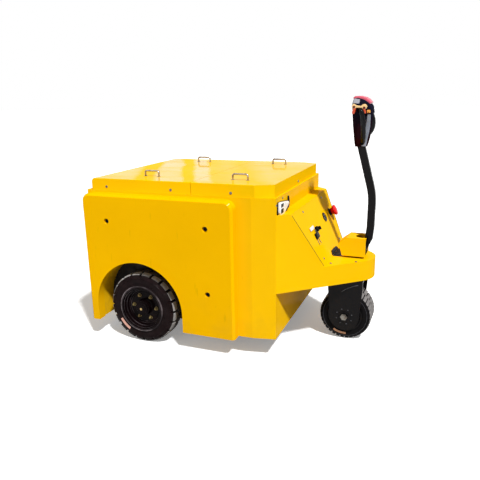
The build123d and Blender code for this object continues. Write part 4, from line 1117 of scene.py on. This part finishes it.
class TUG_OT_tiller_head(bpy.types.Operator):
    """Moulded head of the tiller with its band, window, safety pad and front guard"""
    bl_idname = "tug.tiller_head"
    bl_label = "Tiller head"

    def execute(self, context):
        # Painted reflection: the black head tinted navy at its top and maroon at its foot.
        reflection_tinted("head_black", (0.10, 0.10, 0.17), (0.17, 0.04, 0.045))
        moulded("head_grey", (0.60, 0.63, 0.69), 0.3, 1200, 0.00004, 0.1)
        moulded("window_grey", (0.66, 0.67, 0.72), 0.14, 1500, 0.00002, 0.8)
        moulded("seam_red", (0.38, 0.04, 0.08), 0.4)
        moulded("pad_pink", (0.88, 0.40, 0.47), 0.25, 1100, 0.00004, 0.05, 0.05)

        side = [(336, 1212), (404, 1212), (415, 1254), (426, 1314), (432, 1372), (433, 1414), (426, 1446),
                (408, 1468), (380, 1485), (347, 1493), (326, 1489), (318, 1462), (318, 1400), (321, 1340),
                (328, 1270)]
        front = [(0.025, 1.205), (0.028, 1.260), (0.036, 1.330), (0.049, 1.395), (0.061, 1.432),
                 (0.063, 1.460), (0.060, 1.502)]
        shell = side_form("head_shell", side, HEAD_HALF)
        cross = drawn("cross", front + [(-y, z) for y, z in reversed(front)], 0.3)
        cut(shell, settle(cross, front_view(WALL_X + 0.25)), "INTERSECT")
        evened(shell, 0.0026, 14)
        band = [(376, 1216), (401, 1216), (422, 1330), (424, 1399), (406, 1402), (399, 1334)]
        finish_piece(skin(shell, "head_band", band, 0.0012), "tiller", "head_grey")
        window = [(323, 1464), (358, 1461), (362, 1484), (329, 1490)]
        finish_piece(skin(shell, "head_window", window, 0.0010), "tiller", "window_grey")
        seam = [(325, 1476), (354, 1478), (384, 1469), (404, 1456), (415, 1445), (422, 1451), (408, 1466),
                (386, 1480), (354, 1490), (326, 1488)]
        seam = soften(side_form("pad_seam", seam, 0.0555), 0.002, 2)
        finish_piece(smooth(seam, 50), "tiller", "seam_red")
        pad = [(324, 1485), (354, 1487), (386, 1478), (404, 1466), (417, 1456), (424, 1466), (408, 1484),
               (390, 1496), (358, 1503.5), (334, 1503), (321, 1496)]
        pad = soften(side_form("head_pad", pad, 0.055), 0.004, 3)
        finish_piece(smooth(pad, 60), "tiller", "pad_pink")
        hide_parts("belly_pad")
        finish_piece(shell, "tiller", "head_black")
        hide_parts("tiller_housing")
        guard = [(404, 1266), (424, 1282), (438, 1302), (446, 1326), (448, 1350), (445, 1376), (436, 1402),
                 (424, 1420), (404, 1428)]
        guard = soften(side_form("head_guard", guard, 0.022), 0.009, 4)
        finish_piece(smooth(guard, 60), "tiller", "grip_plastic")
        return {"FINISHED"}


class TUG_OT_tiller_switches(bpy.types.Operator):
    """Switch bars, thumb wings and buttons on both sides of the tiller head"""
    bl_idname = "tug.tiller_switches"
    bl_label = "Tiller switches"

    def execute(self, context):
        moulded("switch_cream", (0.97, 0.80, 0.55), 0.25, 1300, 0.00003, 0.5)
        moulded("switch_orange", (0.86, 0.30, 0.13), 0.25, 1300, 0.00003, 0.5)
        moulded("button_amber", (0.98, 0.66, 0.22), 0.2, 1300, 0.00003, 0.7)
        moulded("switch_core", (0.35, 0.05, 0.03), 0.4)
        bar_side = [(318, 1452), (328, 1461), (346, 1451), (370, 1448), (382, 1458), (396, 1458), (405, 1446),
                    (401, 1433), (387, 1426), (373, 1436), (346, 1438), (334, 1431), (319, 1436)]
        for name, side in SIDES:
            out = (0, side, 0)
            bar = soften(side_form(f"switch_bar_{name}", bar_side, 0.008), 0.003, 3)
            settle(bar, Matrix.Translation((0, side * 0.066, 0)))
            finish_piece(bar, "tiller", "switch_cream")
            wings = []
            for u, lean in ((330, 0.25), (388, -0.25)):
                turn = facing(at(u, side * 61, 1421), out) @ Matrix.Rotation(lean * side, 4, "Z")
                wings.append(settle(block("wing", (0.017, 0.036, 0.013), 0.0045, 3), turn))
            wings = smooth(joined(f"switch_wings_{name}", wings))
            finish_piece(wings, "tiller", "switch_orange")
            core = smooth(turned("core", [(0.0068, 0), (0.0068, 0.002), (0.005, 0.003)], 24))
            spots = [facing(at(u, side * 73.5, z), out) for u, z in ((331, 1443), (389, 1438))]
            finish_piece(copies(core, f"switch_cores_{name}", spots), "tiller", "switch_core")
            button = block(f"horn_button_{name}", (0.022, 0.026, 0.010), 0.004, 3)
            settle(smooth(button), facing(at(412, side * 49, 1421), out))
            finish_piece(button, "tiller", "button_amber")
        return {"FINISHED"}


class TUG_OT_tiller_grips(bpy.types.Operator):
    """Closed loop grips of the tiller, in place of the plain ones"""
    bl_idname = "tug.tiller_grips"
    bl_label = "Tiller grips"

    def execute(self, context):
        path = [(356, 42, 1424), (367, 66, 1425), (375, 79, 1417), (382, 85, 1398), (387, 87, 1370),
                (390, 86, 1338), (391, 80, 1305), (390, 66, 1272), (386, 46, 1248), (378, 18, 1234)]
        loops = []
        for name, side in SIDES:
            loops.append(rods(f"grip_{name}", [at(u, side * y, z) for u, y, z in path], GRIP_R))
        grips = evened(joined("grip_loops", loops), 0.0022, 20)
        finish_piece(grips, "tiller", "grip_plastic")
        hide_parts("tiller_grips")
        return {"FINISHED"}


class TUG_PT_panel(bpy.types.Panel):
    """Lists the pieces and their settings"""
    bl_label = "Tow tractor"
    bl_space_type = "VIEW_3D"
    bl_region_type = "UI"
    bl_category = "Tow tractor"

    def draw(self, context):
        for operator in OPERATORS:
            self.layout.operator(operator.bl_idname)
        for group in ("tug_paint", "tug_tyres", "tug_stage"):
            settings = getattr(context.scene, group)
            box = self.layout.box()
            for key in settings.__annotations__:
                box.prop(settings, key)


OPERATORS = (TUG_OT_paint_nodes, TUG_OT_rear_tyres, TUG_OT_wheel_nuts, TUG_OT_drive_tyre,
             TUG_OT_fork_fittings, TUG_OT_gauge, TUG_OT_stop_button, TUG_OT_dash_trim, TUG_OT_keys,
             TUG_OT_socket, TUG_OT_body_screws, TUG_OT_tiller_head, TUG_OT_tiller_switches,
             TUG_OT_tiller_grips, TUG_OT_stage)
GROUPS = {"tug_paint": TugPaint, "tug_tyres": TugTyres, "tug_stage": TugStage}


def register():
    """Register the classes and their settings."""
    for cls in (*GROUPS.values(), *OPERATORS, TUG_PT_panel):
        bpy.utils.register_class(cls)
    for name, group in GROUPS.items():
        setattr(bpy.types.Scene, name, PointerProperty(type=group))


def unregister():
    """Take the classes and their settings out again."""
    for name in GROUPS:
        delattr(bpy.types.Scene, name)
    for cls in reversed((*GROUPS.values(), *OPERATORS, TUG_PT_panel)):
        bpy.utils.unregister_class(cls)


def main():
    """Build every piece in order."""
    register()
    for operator in OPERATORS:
        group, name = operator.bl_idname.split(".")
        getattr(getattr(bpy.ops, group), name)()
    calm()


if __name__ == "__main__":
    main()
